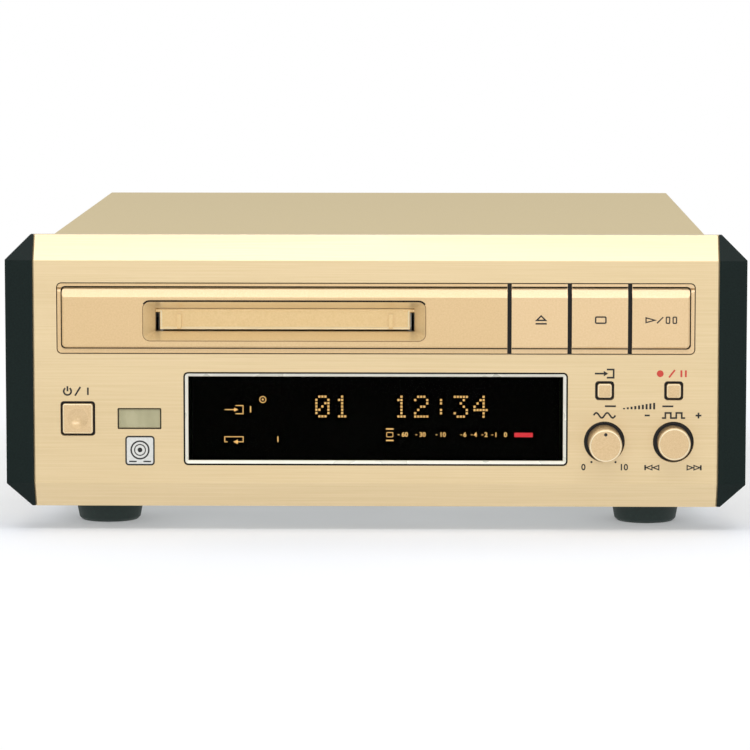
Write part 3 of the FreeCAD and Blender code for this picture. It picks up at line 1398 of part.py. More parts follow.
def make_base():
    """The mechanism's base plate with its uprights, rod posts and cut-outs."""
    body = piece("mechanism_base")
    solid(body, "height", "base_level", "base_top",
          corners_of("base_left", "base_start", "base_right", "base_end"))
    upright_top = "(holder_top + 0.5)"
    for side, (start, end) in (("-", ("slot_place - guide_outside", "slot_place - guide_inside")),
                               ("+", ("slot_place + guide_inside", "slot_place + guide_outside"))):
        solid(body, "across", start, end,
              *[corners_of(f"{depth} - guide_half", "base_top", f"{depth} + guide_half", upright_top)
                for depth in PIN_DEPTHS])
    hollow(body, "across", "slot_place - guide_outside", "slot_place + guide_outside",
           *[slot(depth, "pin_level - drop", depth, "pin_level", "pin_width + 2 * screw_gap")
             for depth in PIN_DEPTHS])
    sled_half = "(sled_length / 2 + 1)"
    hollow(body, "height", "base_level", "base_top",
           corners_of("lens_place - sled_travel - sled_outer - 1", f"disc_depth - {sled_half}",
                      "lens_place + sled_inner + 0.4", "screw_depth + 4"),
           corners_of("lens_place - sled_travel - arm_tail / 2 - 1", "arm_depth - 2.5",
                      "lens_place + arm_tail / 2 + 1", "arm_depth + 2.5"),
           circle("slot_place", "disc_depth", "hub_width + 2"),
           circle("gear_place", "gear_depth", "2 + 2 * shaft_gap"),
           circle("motor_place", "gear_depth", "3.4"))
    solid(body, "height", "base_top", "rod_level",
          *[box(x, f"disc_depth {sign} rod_spacing / 2", "2", "3.4") for x in ROD_ENDS
            for sign in ("-", "+")])
    hollow(body, "across", f"{ROD_ENDS[0]} - 1", f"{ROD_ENDS[1]} + 1",
           *[circle(f"disc_depth {sign} rod_spacing / 2", "rod_level", "rod_width + 0.02")
             for sign in ("-", "+")])
    solid(body, "height", "screw_level - 2", "base_level",
          box(f"{SCREW_START} + 1", "screw_depth", "2", "5"))
    hollow(body, "across", SCREW_START, f"{SCREW_START} + 2",
           circle("screw_depth", "screw_level", "lead_screw_width + 2 * shaft_gap"))


ROD_ENDS = ("(lens_place - sled_travel - sled_outer - 2.4)", "(lens_place + sled_inner + 2)")
SCREW_START = "(lens_place - sled_travel - sled_outer - 3.4)"
MOTOR_START = "(lens_place + sled_inner + 4)"


def make_disc_drive():
    """Turntable, its motor, the guide rods, the lead screw and the sled's motor."""
    motor = piece("spindle_motor", across="slot_place", depth="disc_depth")
    solid(motor, "height", "base_level - spindle_motor_height", "base_level",
          circle("0", "0", "spindle_motor_width"))
    hollow(motor, "height", "base_level - spindle_motor_height + 1", "base_level",
           circle("0", "0", "spindle_width + 2 * shaft_gap"))
    table = piece("turntable", across="slot_place", depth="disc_depth")
    level = "turntable_level"
    turned(table, "height",
           ("0", "base_level - spindle_motor_height + 1.5"),
           ("spindle_width / 2", "base_level - spindle_motor_height + 1.5"),
           ("spindle_width / 2", "base_top + 0.4"), ("hub_width / 2", "base_top + 0.4"),
           ("hub_width / 2", level),
           ("turntable_width / 2", level), ("turntable_width / 2", f"{level} + turntable_height - 1"),
           ("turntable_width / 2 - 1", f"{level} + turntable_height"),
           ("hub_width / 2", f"{level} + turntable_height"),
           ("spindle_width / 2 + 0.3", f"{level} + turntable_height + 1.8"),
           ("0", f"{level} + turntable_height + 1.8"))
    rods = piece("guide_rods")
    solid(rods, "across", f"{ROD_ENDS[0]} - 1", f"{ROD_ENDS[1]} + 1",
          *[circle(f"disc_depth {sign} rod_spacing / 2", "rod_level", "rod_width")
            for sign in ("-", "+")])
    screw = piece("lead_screw", depth="screw_depth", height="screw_level")
    solid(screw, "across", SCREW_START, MOTOR_START, circle("0", "0", "lead_screw_width"))
    motors = piece("mechanism_motors")
    solid(motors, "across", MOTOR_START, f"{MOTOR_START} + sled_motor_length",
          circle("screw_depth", "screw_level", "sled_motor_width"))
    solid(motors, "height", "base_level - loading_motor_height", "base_level",
          circle("motor_place", "gear_depth", "loading_motor_width"))
    hollow(motors, "height", "base_level - 4", "base_level",
           circle("motor_place", "gear_depth", "1.5 + 2 * shaft_gap"))


def make_sled():
    """The pickup sled with its lens, on two rods, and the magnetic head's arm."""
    body = piece("pickup_sled", across="lens_place", depth="disc_depth")
    half = "(sled_length / 2)"
    solid(body, "height", "sled_bottom", "sled_top",
          corners_of("-sled_outer", f"-{half}", "sled_inner", half))
    tail = "(arm_tail / 2)"
    column = "(arm_depth - disc_depth)"
    solid(body, "height", "screw_level - 2", "sled_bottom + 1.4",
          corners_of(f"-{tail}", f"{half} - 3", tail, "screw_depth - disc_depth + 2.5"))
    solid(body, "height", "sled_bottom", "sled_bottom + 1.4",
          corners_of(f"-{tail}", f"{half} - 3", tail, f"{column} + 1.5"))
    solid(body, "height", "sled_bottom", "arm_pivot_level + 1.5",
          corners_of(f"-{tail}", f"{column} - 1.5", tail, f"{column} + 1.5"))
    hollow(body, "across", f"-{tail}", tail,
           circle(column, "arm_pivot_level", "arm_pin_width + 2 * shaft_gap"))
    hollow(body, "across", "-sled_outer", "sled_inner",
           *[circle(f"{sign}rod_spacing / 2", "rod_level", "rod_width + 2 * shaft_gap")
             for sign in ("-", "")])
    hollow(body, "across", f"-{tail}", tail,
           circle("screw_depth - disc_depth", "screw_level", "lead_screw_width + 2 * shaft_gap"))
    lens = piece("objective_lens", across="lens_place", depth="disc_depth", height="sled_top")
    turned(lens, "height", ("0", "0"), ("lens_width / 2 + 1", "0"), ("lens_width / 2 + 1", "0.6"),
           ("lens_width / 2", "0.6"), ("lens_width / 2", "1"), ("0.8", "1.3"), ("0", "1.3"))
    arm = piece("head_arm", across="lens_place", depth="arm_depth", height="arm_level")
    cheek = f"({tail} + small_gap + arm_cheek)"
    solid(arm, "height", "0", "arm_wall",
          corners_of(f"-{cheek}", "disc_depth - arm_depth - head_size / 2", cheek, "2"))
    solid(arm, "height", "-head_drop", "0",
          box("0", "disc_depth - arm_depth", "head_size", "head_size"))
    solid(arm, "height", "arm_pivot_level - arm_level - 1.5", "0",
          *[box(f"{sign}({cheek} - arm_cheek / 2)", "0", "arm_cheek", "3.6") for sign in ("-", "")])
    solid(arm, "across", f"-{cheek}", cheek,
          circle("0", "arm_pivot_level - arm_level", "arm_pin_width"))


def make_holder():
    """The cartridge holder: a folded tray with open lips below and four pins at its sides."""
    body = piece("cartridge_holder", across="slot_place")
    outer, inner = "holder_half", "(cartridge_width / 2)"
    lip = "(holder_half - holder_lip)"
    solid(body, "depth", "holder_start", "cartridge_end", polygon(
        (f"-{outer}", "holder_bottom"), (f"-{outer}", "holder_top"), (outer, "holder_top"),
        (outer, "holder_bottom"), (lip, "holder_bottom"), (lip, "holder_inside_bottom"),
        (inner, "holder_inside_bottom"), (inner, "holder_inside_top"), (f"-{inner}", "holder_inside_top"),
        (f"-{inner}", "holder_inside_bottom"), (f"-{lip}", "holder_inside_bottom"),
        (f"-{lip}", "holder_bottom")))
    solid(body, "depth", "cartridge_end - holder_wall", "cartridge_end",
          corners_of(f"-{lip}", "holder_inside_bottom + 2", lip, "holder_inside_top"))
    hollow(body, "height", "holder_inside_top", "holder_top",
           corners_of("-lens_start - sled_travel - 4.5", "disc_depth - 5", "-lens_start + 4.5",
                      "disc_depth + 5"))
    reach = "(guide_outside + small_gap + slider_wall + 0.6)"
    for start, end in ((f"-{reach}", "-holder_half"), ("holder_half", reach)):
        solid(body, "across", start, end,
              *[circle(depth, "pin_level", "pin_width") for depth in PIN_DEPTHS])


def tooth_gap(pitch_radius):
    """The space between two teeth of a gear whose middle is the sketch's origin."""
    half_pitch = "(gear_module * 0.785 + gear_backlash / 2)"
    tip, root = f"({pitch_radius} + gear_module + 0.1)", f"({pitch_radius} - 1.25 * gear_module)"
    return polygon((root, f"-{half_pitch} * 0.5"), (tip, f"-{half_pitch} * 1.5"),
                   (tip, f"{half_pitch} * 1.5"), (root, f"{half_pitch} * 0.5"))


def add_teeth(body, teeth, bottom, top):
    """A toothed ring: a disc with one gap cut and repeated once for each tooth."""
    pitch_radius = f"(gear_module * {teeth} / 2)"
    solid(body, "height", bottom, top, circle("0", "0", f"2 * {pitch_radius} + 2 * gear_module"))
    gap = hollow(body, "height", bottom, top, tooth_gap(pitch_radius))
    repeat_round(body, gap, teeth)


def make_loading_drive():
    """The slider that lowers the holder, its gear and the loading motor."""
    rack_bottom = "(base_top + 0.1)"
    rack_top = f"({rack_bottom} + rack_wall)"
    slider = piece("loading_slider")
    solid(slider, "across", "slider_inside", "slider_outside",
          corners_of("slider_start", rack_bottom, "slider_end", "holder_top - 0.5"))
    hollow(slider, "across", "slider_inside", "slider_outside",
           *[slot(depth, "pin_level", f"{depth} - slider_travel", "pin_level - drop",
                  "pin_width + 2 * screw_gap") for depth in PIN_DEPTHS])
    solid(slider, "height", rack_bottom, rack_top,
          corners_of("slider_outside", "slider_start + 18", "pitch_line + gear_module",
                     "slider_end"))
    half_pitch = "(gear_module * 0.785 + gear_backlash / 2)"
    tip, root = "(pitch_line + gear_module + 0.1)", "(pitch_line - 1.25 * gear_module)"
    first = "(gear_depth - 14.5 * gear_module * pi)"
    gap = hollow(slider, "height", rack_bottom, rack_top,
                 polygon((root, f"{first} - {half_pitch} * 0.5"), (tip, f"{first} - {half_pitch} * 1.5"),
                         (tip, f"{first} + {half_pitch} * 1.5"), (root, f"{first} + {half_pitch} * 0.5")))
    repeat_along(slider, gap, "V_Axis", "gear_module * pi", "rack_teeth")
    gear = piece("drive_gear", across="gear_place", depth="gear_depth")
    add_teeth(gear, "pinion_teeth", "base_top + 0.2", f"{rack_top} + 0.4")
    add_teeth(gear, "wheel_teeth", f"{rack_top} + 0.4", f"{rack_top} + 2.4")
    solid(gear, "height", "base_level - 1", "base_top + 0.2", circle("0", "0", "2"))
    pinion = piece("motor_pinion", across="motor_place", depth="gear_depth")
    add_teeth(pinion, "motor_teeth", f"{rack_top} + 0.4", f"{rack_top} + 2.4")
    solid(pinion, "height", "base_level - 3", f"{rack_top} + 0.4", circle("0", "0", "1.5"))


for make in (make_front_panel, make_sub_panel, make_slot_fascia, make_slot_flap, make_display,
             make_remote_parts, make_front_board, make_tact_switches, make_chassis, make_top_cover,
             make_rear_panel, make_feet, make_screws, make_jacks, make_board_sockets,
             make_mains_inlet, make_boards, make_capacitors, make_cable, make_transformer, make_heat_sink,
             make_stands, make_dampers, make_base, make_disc_drive, make_sled, make_holder,
             make_loading_drive):
    make()
make_end_cap("end_cap_left", -1)
make_end_cap("end_cap_right", 1)
for name, order in TRANSPORT:
    make_transport_button(name, order)
make_square_button("standby_button", "standby_place", "standby_level", "standby_width", dimpled=True)
for name, place in SMALL_BUTTONS:
    make_square_button(name, place, "small_button_level", "small_button_width")
make_knob("level_knob", "knob_place", "knob_reach", "knob_width", "knob_front_width")
make_knob("jog_knob", "jog_place", "jog_reach", "jog_width", "jog_width")
make_controls()

doc.recompute()


def check_model():
    """Stop before anything is written if an object failed or a piece isn't a sound solid."""
    problems = []
    for item in doc.Objects:
        if {"Invalid", "Error"} & set(item.State):
            problems.append(f"{item.Name}: {item.State}")
        elif item.TypeId == "PartDesign::Pocket":
            before, after = item.BaseFeature.Shape, item.Shape
            if after.isNull() or after.Volume > before.Volume - 1e-6:
                problems.append(f"{item.Name} cuts nothing")
    for body in PIECES:
        if body.Shape.isNull() or not body.Shape.isValid() or not body.Shape.Solids:
            problems.append(f"{body.Label}: not a valid solid")
    if problems:
        raise RuntimeError("\n".join(problems))


check_model()
os.makedirs("parts", exist_ok=True)
for body in PIECES:
    body.Shape.exportStep(f"parts/{body.Label}.step")
print(f"{len(PIECES)} pieces written")
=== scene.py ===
# %% [markdown]
# # A minidisc deck
# This notebook dresses a imported CAD model of a half-width minidisc recorder, which holds every
# solid at its real size. Each solid gets the finish that the real one has, and the things too thin
# for CAD are added: printed symbols, the lit display, painted highlights on bright edges, and
# painted shade in dark joints and in the groove.

# %% Load the imported model
import json
import math

import bmesh
import bpy
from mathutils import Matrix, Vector

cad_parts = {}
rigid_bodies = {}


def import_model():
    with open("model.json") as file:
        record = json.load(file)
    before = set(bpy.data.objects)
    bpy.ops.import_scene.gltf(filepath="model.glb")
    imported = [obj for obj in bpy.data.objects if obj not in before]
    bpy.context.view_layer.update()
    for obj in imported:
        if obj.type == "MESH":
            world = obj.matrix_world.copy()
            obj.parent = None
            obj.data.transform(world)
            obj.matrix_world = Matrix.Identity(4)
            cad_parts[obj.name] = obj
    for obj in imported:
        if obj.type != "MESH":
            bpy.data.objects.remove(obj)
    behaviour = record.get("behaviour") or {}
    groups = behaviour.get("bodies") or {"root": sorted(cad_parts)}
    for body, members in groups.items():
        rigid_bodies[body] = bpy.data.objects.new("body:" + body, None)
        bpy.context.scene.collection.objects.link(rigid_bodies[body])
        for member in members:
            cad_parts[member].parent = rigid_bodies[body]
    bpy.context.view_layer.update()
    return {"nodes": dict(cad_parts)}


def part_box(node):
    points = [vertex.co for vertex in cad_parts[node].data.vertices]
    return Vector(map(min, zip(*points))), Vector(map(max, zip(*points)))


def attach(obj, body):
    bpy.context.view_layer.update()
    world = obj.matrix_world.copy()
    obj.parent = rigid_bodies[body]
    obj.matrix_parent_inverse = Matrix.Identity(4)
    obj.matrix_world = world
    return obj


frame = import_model()
nodes = frame["nodes"]
MM = 0.001

# %% [markdown]
# ## Colours and nodes
# Colours are easiest to read as the hex values of a paint chart. Shaders need linear light, so one
# function turns one into the other. A second one adds a node with its settings and links.

# %% Colour and node helpers
def linear(chart_colour):
    """A hex colour of a paint chart as the linear values that a shader needs, by the sRGB rule."""
    channels = [int(chart_colour[i:i + 2], 16) / 255 for i in (1, 3, 5)]
    bent = [c / 12.92 if c <= 0.04045 else ((c + 0.055) / 1.055) ** 2.4 for c in channels]
    return (*bent, 1.0)


def add(tree, kind, settings=None, links=None):
    """Add one node: settings are its options and plain values, links feed its inputs."""
    made = tree.nodes.new(kind)
    for name, value in (settings or {}).items():
        if isinstance(name, int) or name in made.inputs:
            made.inputs[name].default_value = value
        else:
            setattr(made, name, value)
    for name, source in (links or {}).items():
        tree.links.new(source, made.inputs[name])
    return made


print("champagne is", [round(c, 3) for c in linear("#EAD2A6")])

# %% [markdown]
# ## How a finish is built
# A real surface is never one flat colour. Brushing, moulding texture and paint grain change the
# colour, the gloss and the relief together, so one pattern drives all three. It is noise in object
# space, where a metre is a metre. Its size is given in millimetres, and a size that differs along
# X, Y and Z draws it out into streaks.

# %% Pattern and finish helpers
# nearly all values of a noise pattern lie between these two
PATTERN_LOW, PATTERN_HIGH = 0.3, 0.7
SPREAD = {"From Min": PATTERN_LOW, "From Max": PATTERN_HIGH}
finishes = {}


def grain(tree, size, detail=2.0):
    """Noise in object space: size is one number of millimetres or three, along X, Y and Z."""
    sizes = size if isinstance(size, tuple) else (size, size, size)
    place = add(tree, "ShaderNodeTexCoord")
    mapping = add(tree, "ShaderNodeMapping", {"Scale": [1 / (s * MM) for s in sizes]},
                  {"Vector": place.outputs["Object"]})
    noise = add(tree, "ShaderNodeTexNoise", {"Scale": 1.0, "Detail": detail},
                {"Vector": mapping.outputs["Vector"]})
    return noise.outputs["Fac"]


def dress(material, dark, light, pattern, gloss, relief):
    """Drive colour, roughness (low, high) and relief in millimetres from one pattern."""
    tree = material.node_tree
    shader = tree.nodes["Principled BSDF"]
    ramp = add(tree, "ShaderNodeValToRGB", links={"Fac": pattern})
    low, high = ramp.color_ramp.elements
    low.position, low.color = PATTERN_LOW, linear(dark)
    high.position, high.color = PATTERN_HIGH, linear(light)
    rough = add(tree, "ShaderNodeMapRange", {**SPREAD, "To Min": gloss[0], "To Max": gloss[1]},
                {"Value": pattern})
    bump = add(tree, "ShaderNodeBump", {"Strength": 1.0, "Distance": relief * MM},
               {"Height": pattern})
    tree.links.new(ramp.outputs["Color"], shader.inputs["Base Color"])
    tree.links.new(rough.outputs["Result"], shader.inputs["Roughness"])
    tree.links.new(bump.outputs["Normal"], shader.inputs["Normal"])
    return ramp


def finish(name, **constants):
    """A new named finish; constants such as metallic=1.0 go on the shader's own sockets."""
    material = bpy.data.materials.new(name)
    material.use_nodes = True
    shader = material.node_tree.nodes["Principled BSDF"]
    sockets = {s.name.lower().replace(" ", "_"): s for s in shader.inputs}
    for key, value in constants.items():
        sockets[key].default_value = value
    finishes[name] = material
    return material


print("patterns run from", PATTERN_LOW, "to", PATTERN_HIGH)

# %% [markdown]
# ## Brushed champagne aluminium
# The front panel is anodised aluminium, brushed from side to side before it is dyed. The eye sees
# long thin streaks that catch the light a little differently from each other. Real brush lines
# are about 0.05 mm apart, far finer than a pixel, so they are drawn 0.4 mm apart and 30 mm long.
# Broad faint bands lie over them.

# %% Brushed front panel
STREAKS, BANDS = (30, 4, 0.4), (240, 60, 14)
# a Mix node's colour sockets share their names with others, so they go by their position
MIX_AMOUNT, MIX_A, MIX_B, MIX_COLOUR = 0, 6, 7, 2


def brushed_aluminium():
    """Aluminium brushed along X under a clear anodised film: streaks with a soft sheen."""
    material = finish("brushed_champagne_aluminium", metallic=0.5, anisotropic=0.4,
                      coat_weight=0.8, coat_roughness=0.22)
    tree = material.node_tree
    ramp = dress(material, "#E3CA9A", "#EBD3A6", grain(tree, STREAKS, 3), (0.36, 0.46), 0.01)
    shade = add(tree, "ShaderNodeValToRGB", links={"Fac": grain(tree, BANDS, 1)})
    for stop, colour in zip(shade.color_ramp.elements, ("#F4F2EE", "#FFFFFF")):
        stop.color = linear(colour)
    tone = add(tree, "ShaderNodeMix",
               {"data_type": "RGBA", "blend_type": "MULTIPLY", MIX_AMOUNT: 1.0},
               {MIX_A: ramp.outputs["Color"], MIX_B: shade.outputs["Color"]})
    tree.links.new(tone.outputs[MIX_COLOUR], tree.nodes["Principled BSDF"].inputs["Base Color"])
    return material


print(brushed_aluminium().name)

# %% [markdown]
# ## Champagne lacquer
# The slot strip and the three long keys are moulded ABS, sprayed with metallic lacquer to match
# the metal beside them. The flakes give a faint sparkle and no direction. They are finer than
# 0.1 mm, so they are drawn coarser.

# %% Lacquered plastic
FLAKE = 0.5
LACQUERS = {
    "champagne_lacquer": ("#D4B27C", "#DDBC88"),
    "champagne_key_lacquer": ("#DBBA87", "#E3C393"),
    "champagne_flap_lacquer": ("#EAC98A", "#F2D296"),
    # the funnel's own tone is painted light and shade, for how its walls are lit
    "champagne_funnel_lacquer": ("#DEC493", "#E6CD9E"),
}
for name, (dark, light) in LACQUERS.items():
    material = finish(name, metallic=0.25, coat_weight=1.0, coat_roughness=0.2)
    dress(material, dark, light, grain(material.node_tree, FLAKE, 3), (0.32, 0.4), 0.006)
print(*LACQUERS)

# %% [markdown]
# ## Plain finishes from a table
# Most other parts need only what a table can hold: dark, light, grain in mm (one size, or three
# along X, Y and Z), roughness range, relief in mm, and the shader's constants. A comment over each
# group says what the real material is and what the eye sees. Textures finer than about 0.3 mm are
# drawn that coarse.

# %% Table of finishes
METAL, SPECULAR = {"metallic": 1.0}, "specular_ior_level"
FINISHES = {
    # aluminium blasted with fine beads before it is dyed: an even silky grain, no direction
    "blasted_champagne_aluminium": ("#D3B382", "#DFC192", 0.35, (0.3, 0.38), 0.006,
                                    {"metallic": 0.45, "coat_weight": 0.8,
                                     "coat_roughness": 0.15}),
    # enamel baked on steel sheet: a fine orange-peel texture, nearly matte
    "khaki_enamel": ("#BFAE86", "#C5B58E", 0.6, (0.55, 0.65), 0.012, {SPECULAR: 0.2}),
    "black_enamel": ("#15171A", "#1E2124", 0.5, (0.4, 0.5), 0.01, {}),
    # plastic moulded against a spark-eroded steel face: soft highlights, no clear reflection
    "green_black_abs": ("#0C1816", "#13201E", 0.5, (0.36, 0.5), 0.01, {SPECULAR: 0.12}),
    "black_abs": ("#0E0F10", "#17181A", 0.5, (0.4, 0.55), 0.01, {}),
    "cream_abs": ("#D8D4C6", "#E4E0D4", 1, (0.4, 0.5), 0.006, {}),
    # nylon with glass fibres: duller, with a grain along the flow of the melt
    "black_glass_filled_nylon": ("#141414", "#202020", (0.3, 0.8, 0.3), (0.45, 0.6), 0.015, {}),
    # natural acetal, moulded smooth: waxy white that lets a little light in
    "natural_acetal": ("#DCDACD", "#E9E7DC", 2, (0.35, 0.45), 0.004, {"subsurface_weight": 0.1}),
    # pressed rubber: matte, with a pale bloom
    "moulded_rubber": ("#1E2C29", "#2D3B38", 1.2, (0.7, 0.85), 0.03, {}),
    # plated steel and brass: zinc has broad soft spangles, tin is dull, nickel shines
    "zinc_plated_steel": ("#B4B6B2", "#CDCFCB", 14, (0.3, 0.45), 0.004, METAL),
    "tin_plate": ("#BDBEC0", "#D3D4D6", 1, (0.25, 0.4), 0.004, METAL),
    "nickel_plate": ("#C9C6BC", "#DAD7CE", 3, (0.12, 0.22), 0.002, METAL),
    # steel blackened in a chromate bath: dark, with a metal's sheen
    "black_chromate": ("#1F2021", "#34363A", 0.8, (0.3, 0.45), 0.004, {"metallic": 0.8}),
    # drawn steel cans and extruded aluminium: fine lines along the way the metal was pulled
    "bright_can_steel": ("#A3A5A6", "#BDBFC0", (0.4, 0.4, 8), (0.22, 0.34), 0.004, METAL),
    "extruded_aluminium": ("#A9ABAE", "#C4C6C9", (0.5, 0.5, 30), (0.3, 0.42), 0.01, METAL),
    # stacked steel sheets dipped in varnish: thin dark lines, one for each few sheets
    "varnished_lamination": ("#2A2826", "#47433E", (30, 30, 0.5), (0.35, 0.5), 0.05,
                             {"metallic": 0.5}),
    # polyester tape wound round the coil: yellow, with faint turns
    "winding_tape": ("#C8A136", "#DDB84C", (1.2, 8, 8), (0.4, 0.5), 0.02, {}),
    # filled epoxy moulded round a chip: flat dark grey
    "epoxy_chip": ("#141517", "#1D1E21", 0.4, (0.5, 0.62), 0.012, {}),
    # shrunk film on capacitors, and the cable's film with its conductors showing as lines
    "sleeve_film": ("#151B33", "#1C2442", (0.6, 0.6, 12), (0.25, 0.35), 0.004, {}),
    "cable_film": ("#CFCFC8", "#E8E8E2", (0.5, 60, 60), (0.3, 0.4), 0.01, {}),
    # smoked acrylic: clear plastic with black dye, so its own reflections are weak
    "smoked_acrylic": ("#8C8782", "#938E88", 20, (0.0, 0.01), 0.0,
                       {"transmission_weight": 1.0, "ior": 1.49,
                        "specular_tint": (0.02, 0.02, 0.02, 1)}),
    # acrylic dyed for infrared: an even olive that hides the sensor
    "infrared_acrylic": ("#A29D7C", "#B2AC8A", (5, 5, 9), (0.2, 0.3), 0.002,
                         {"ior": 1.49, SPECULAR: 0.25}),
    # the display tube's dark glass: black behind its characters
    "display_glass": ("#010101", "#020202", 3, (0.1, 0.16), 0.0005, {SPECULAR: 0.05}),
    # a pickup lens with its blue coating
    "coated_lens_glass": ("#3A4A8C", "#5E74B8", 3, (0.02, 0.05), 0.0002,
                          {"transmission_weight": 0.5, "coat_weight": 0.6}),
    # painted highlights: pale films on edges and chamfers, for the light that those edges catch
    "bright_cut_aluminium": ("#F1EFE0", "#FBF9EC", 12, (0.25, 0.32), 0.001, {"metallic": 0.35}),
    "bright_cut_champagne": ("#F6E6BE", "#FDEFCC", 12, (0.28, 0.34), 0.001, {"metallic": 0.3}),
    # painted shade: a dark line where a joint or groove lies in shadow, warm bronze where light
    # reaches in
    "shadow_joint": ("#0E0B08", "#17120D", 0.7, (0.6, 0.7), 0.001, {SPECULAR: 0.1}),
    "bronze_joint": ("#7C5C36", "#8A6A42", 0.7, (0.5, 0.6), 0.001, {SPECULAR: 0.2}),
    # screen-printed ink: a thin flat film, slightly matte
    "black_ink": ("#0D0C0B", "#161412", 0.7, (0.45, 0.55), 0.001, {}),
    "red_ink": ("#C2382A", "#CC4030", 0.7, (0.45, 0.55), 0.001, {}),
    "silver_ink": ("#CFCFC9", "#DCDCD7", 0.7, (0.4, 0.5), 0.001, {}),
    # dyed plastic rings on the sockets: plain, with a slight gloss
    "white_socket_ring": ("#E6E4DC", "#F0EEE8", 1, (0.35, 0.45), 0.004, {}),
    "red_socket_ring": ("#A81E1C", "#B82A26", 1, (0.35, 0.45), 0.004, {}),
}
for name, (dark, light, grain_size, gloss, relief, constants) in FINISHES.items():
    material = finish(name, **constants)
    dress(material, dark, light, grain(material.node_tree, grain_size), gloss, relief)
print(len(FINISHES), "plain finishes")

# %% [markdown]
# ## Circuit board
# A board is glass cloth in epoxy under green solder resist. Copper tracks show through the resist
# as a lighter green. A brick pattern with long thin cells gives runs of tracks that start and
# stop, which reads as a routed board without drawing each track.

# %% Circuit board
TRACK_LENGTH, TRACK_PITCH, TRACK_GAP, TRACK_RELIEF = 9.0, 0.8, 0.18, 0.03


def circuit_board():
    """Glossy green resist over copper tracks; the brick sizes are in millimetres."""
    material = finish("green_resist_board", coat_weight=0.3, coat_roughness=0.2)
    tree = material.node_tree
    shader = tree.nodes["Principled BSDF"]
    place = add(tree, "ShaderNodeTexCoord")
    tracks = add(tree, "ShaderNodeTexBrick",
                 {"Scale": 1 / MM, "Brick Width": TRACK_LENGTH, "Row Height": TRACK_PITCH,
                  "Mortar Size": TRACK_GAP, "Color1": linear("#3F6E35"),
                  "Color2": linear("#2F5A2B"), "Mortar": linear("#24451F")},
                 {"Vector": place.outputs["Object"]})
    height = add(tree, "ShaderNodeRGBToBW", links={"Color": tracks.outputs["Color"]})
    bump = add(tree, "ShaderNodeBump", {"Strength": 1.0, "Distance": TRACK_RELIEF * MM},
               {"Height": height.outputs["Val"]})
    rough = add(tree, "ShaderNodeMapRange", {**SPREAD, "To Min": 0.3, "To Max": 0.45},
                {"Value": grain(tree, 4)})
    tree.links.new(tracks.outputs["Color"], shader.inputs["Base Color"])
    tree.links.new(bump.outputs["Normal"], shader.inputs["Normal"])
    tree.links.new(rough.outputs["Result"], shader.inputs["Roughness"])
    return material


print(circuit_board().name)

# %% [markdown]
# ## Light that is written in colour
# A vacuum fluorescent display glows: its characters are phosphor that gives light. An emission
# colour does that. The strength is low, because the camera should still see amber and not white.

# %% Display phosphors
def phosphor(name, dark, light):
    """Phosphor powder on glass: it glows, a little unevenly, and has no shine."""
    material = finish(name, roughness=0.6, emission_strength=3.0, specular_ior_level=0.0)
    tree = material.node_tree
    ramp = dress(material, dark, light, grain(tree, 0.5), (0.6, 0.7), 0.0005)
    tree.links.new(ramp.outputs["Color"], tree.nodes["Principled BSDF"].inputs["Emission Color"])
    return material


print(phosphor("amber_phosphor", "#F0C070", "#FFD993").name,
      phosphor("red_phosphor", "#D8313A", "#F0505A").name)

# %% [markdown]
# ## Finishes on the CAD solids
# Every CAD node is listed with its finish. A node that is missing from the list would keep the
# exporter's plain grey, so the list is checked against the frame.

# %% Assign the finishes
WORN_BY = {
    "brushed_champagne_aluminium": "front_panel",
    "champagne_lacquer": "slot_fascia",
    "champagne_flap_lacquer": "slot_flap",
    "champagne_key_lacquer": "eject_button stop_button play_button",
    "blasted_champagne_aluminium": "standby_button input_button record_button level_knob jog_knob",
    "green_black_abs": "end_cap_left end_cap_right",
    "black_abs": "sub_panel tact_switches remote_sensor optical_dust_plugs board_sockets turntable "
                 "pickup_sled",
    "black_glass_filled_nylon": "jack_block mains_inlet",
    "khaki_enamel": "top_cover",
    "moulded_rubber": "feet mechanism_dampers",
    "zinc_plated_steel": "chassis mechanism_stands mechanism_base loading_slider "
                         "cartridge_holder head_arm",
    "black_enamel": "rear_panel",
    "black_chromate": "case_screws",
    "tin_plate": "chassis_screws board_screws foot_screws",
    "nickel_plate": "jack_sleeves inlet_pins guide_rods lead_screw rotary_controls",
    "green_resist_board": "front_board main_board power_board",
    "varnished_lamination": "transformer_core",
    "winding_tape": "transformer_winding",
    "extruded_aluminium": "heat_sink",
    "natural_acetal": "drive_gear motor_pinion",
    "cream_abs": "cable_connectors",
    "bright_can_steel": "mechanism_motors spindle_motor",
    "epoxy_chip": "chips",
    "sleeve_film": "capacitors",
    "cable_film": "flat_cable",
    "smoked_acrylic": "display_window",
    "infrared_acrylic": "remote_window",
    "display_glass": "display_tube display_holder",
    "coated_lens_glass": "objective_lens",
}
dressed = set()
for worn, names in WORN_BY.items():
    for name in names.split():
        nodes[name].data.materials.clear()
        nodes[name].data.materials.append(finishes[worn])
        dressed.add(name)
print("without a finish:", sorted(set(nodes) - dressed) or "none")

# %% [markdown]
# ## The camera
# The deck is seen from a little above and a little to the right, through a long lens. The camera
# comes early, because the display's characters lie behind the window and are placed along the
# lines of sight.

# %% Camera
face_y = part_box("front_panel")[0].y
CAMERA = Vector((20.0 * MM, face_y - 1154 * MM, 169.6 * MM))
YAW, PITCH = 1.0, -6.07


def placed(name, data):
    """A new object in the scene, for a mesh, a curve, a lamp or the camera."""
    made = bpy.data.objects.new(name, data)
    bpy.context.scene.collection.objects.link(made)
    return made


camera_data = bpy.data.cameras.new("camera")
camera_data.lens = 190.2
camera_data.sensor_width = 36
camera_data.clip_end = 100
camera = placed("camera", camera_data)
camera.location = CAMERA
camera.rotation_euler = (math.radians(90 + PITCH), 0, math.radians(YAW))
bpy.context.scene.camera = camera
print("camera", [round(c, 3) for c in camera.location])

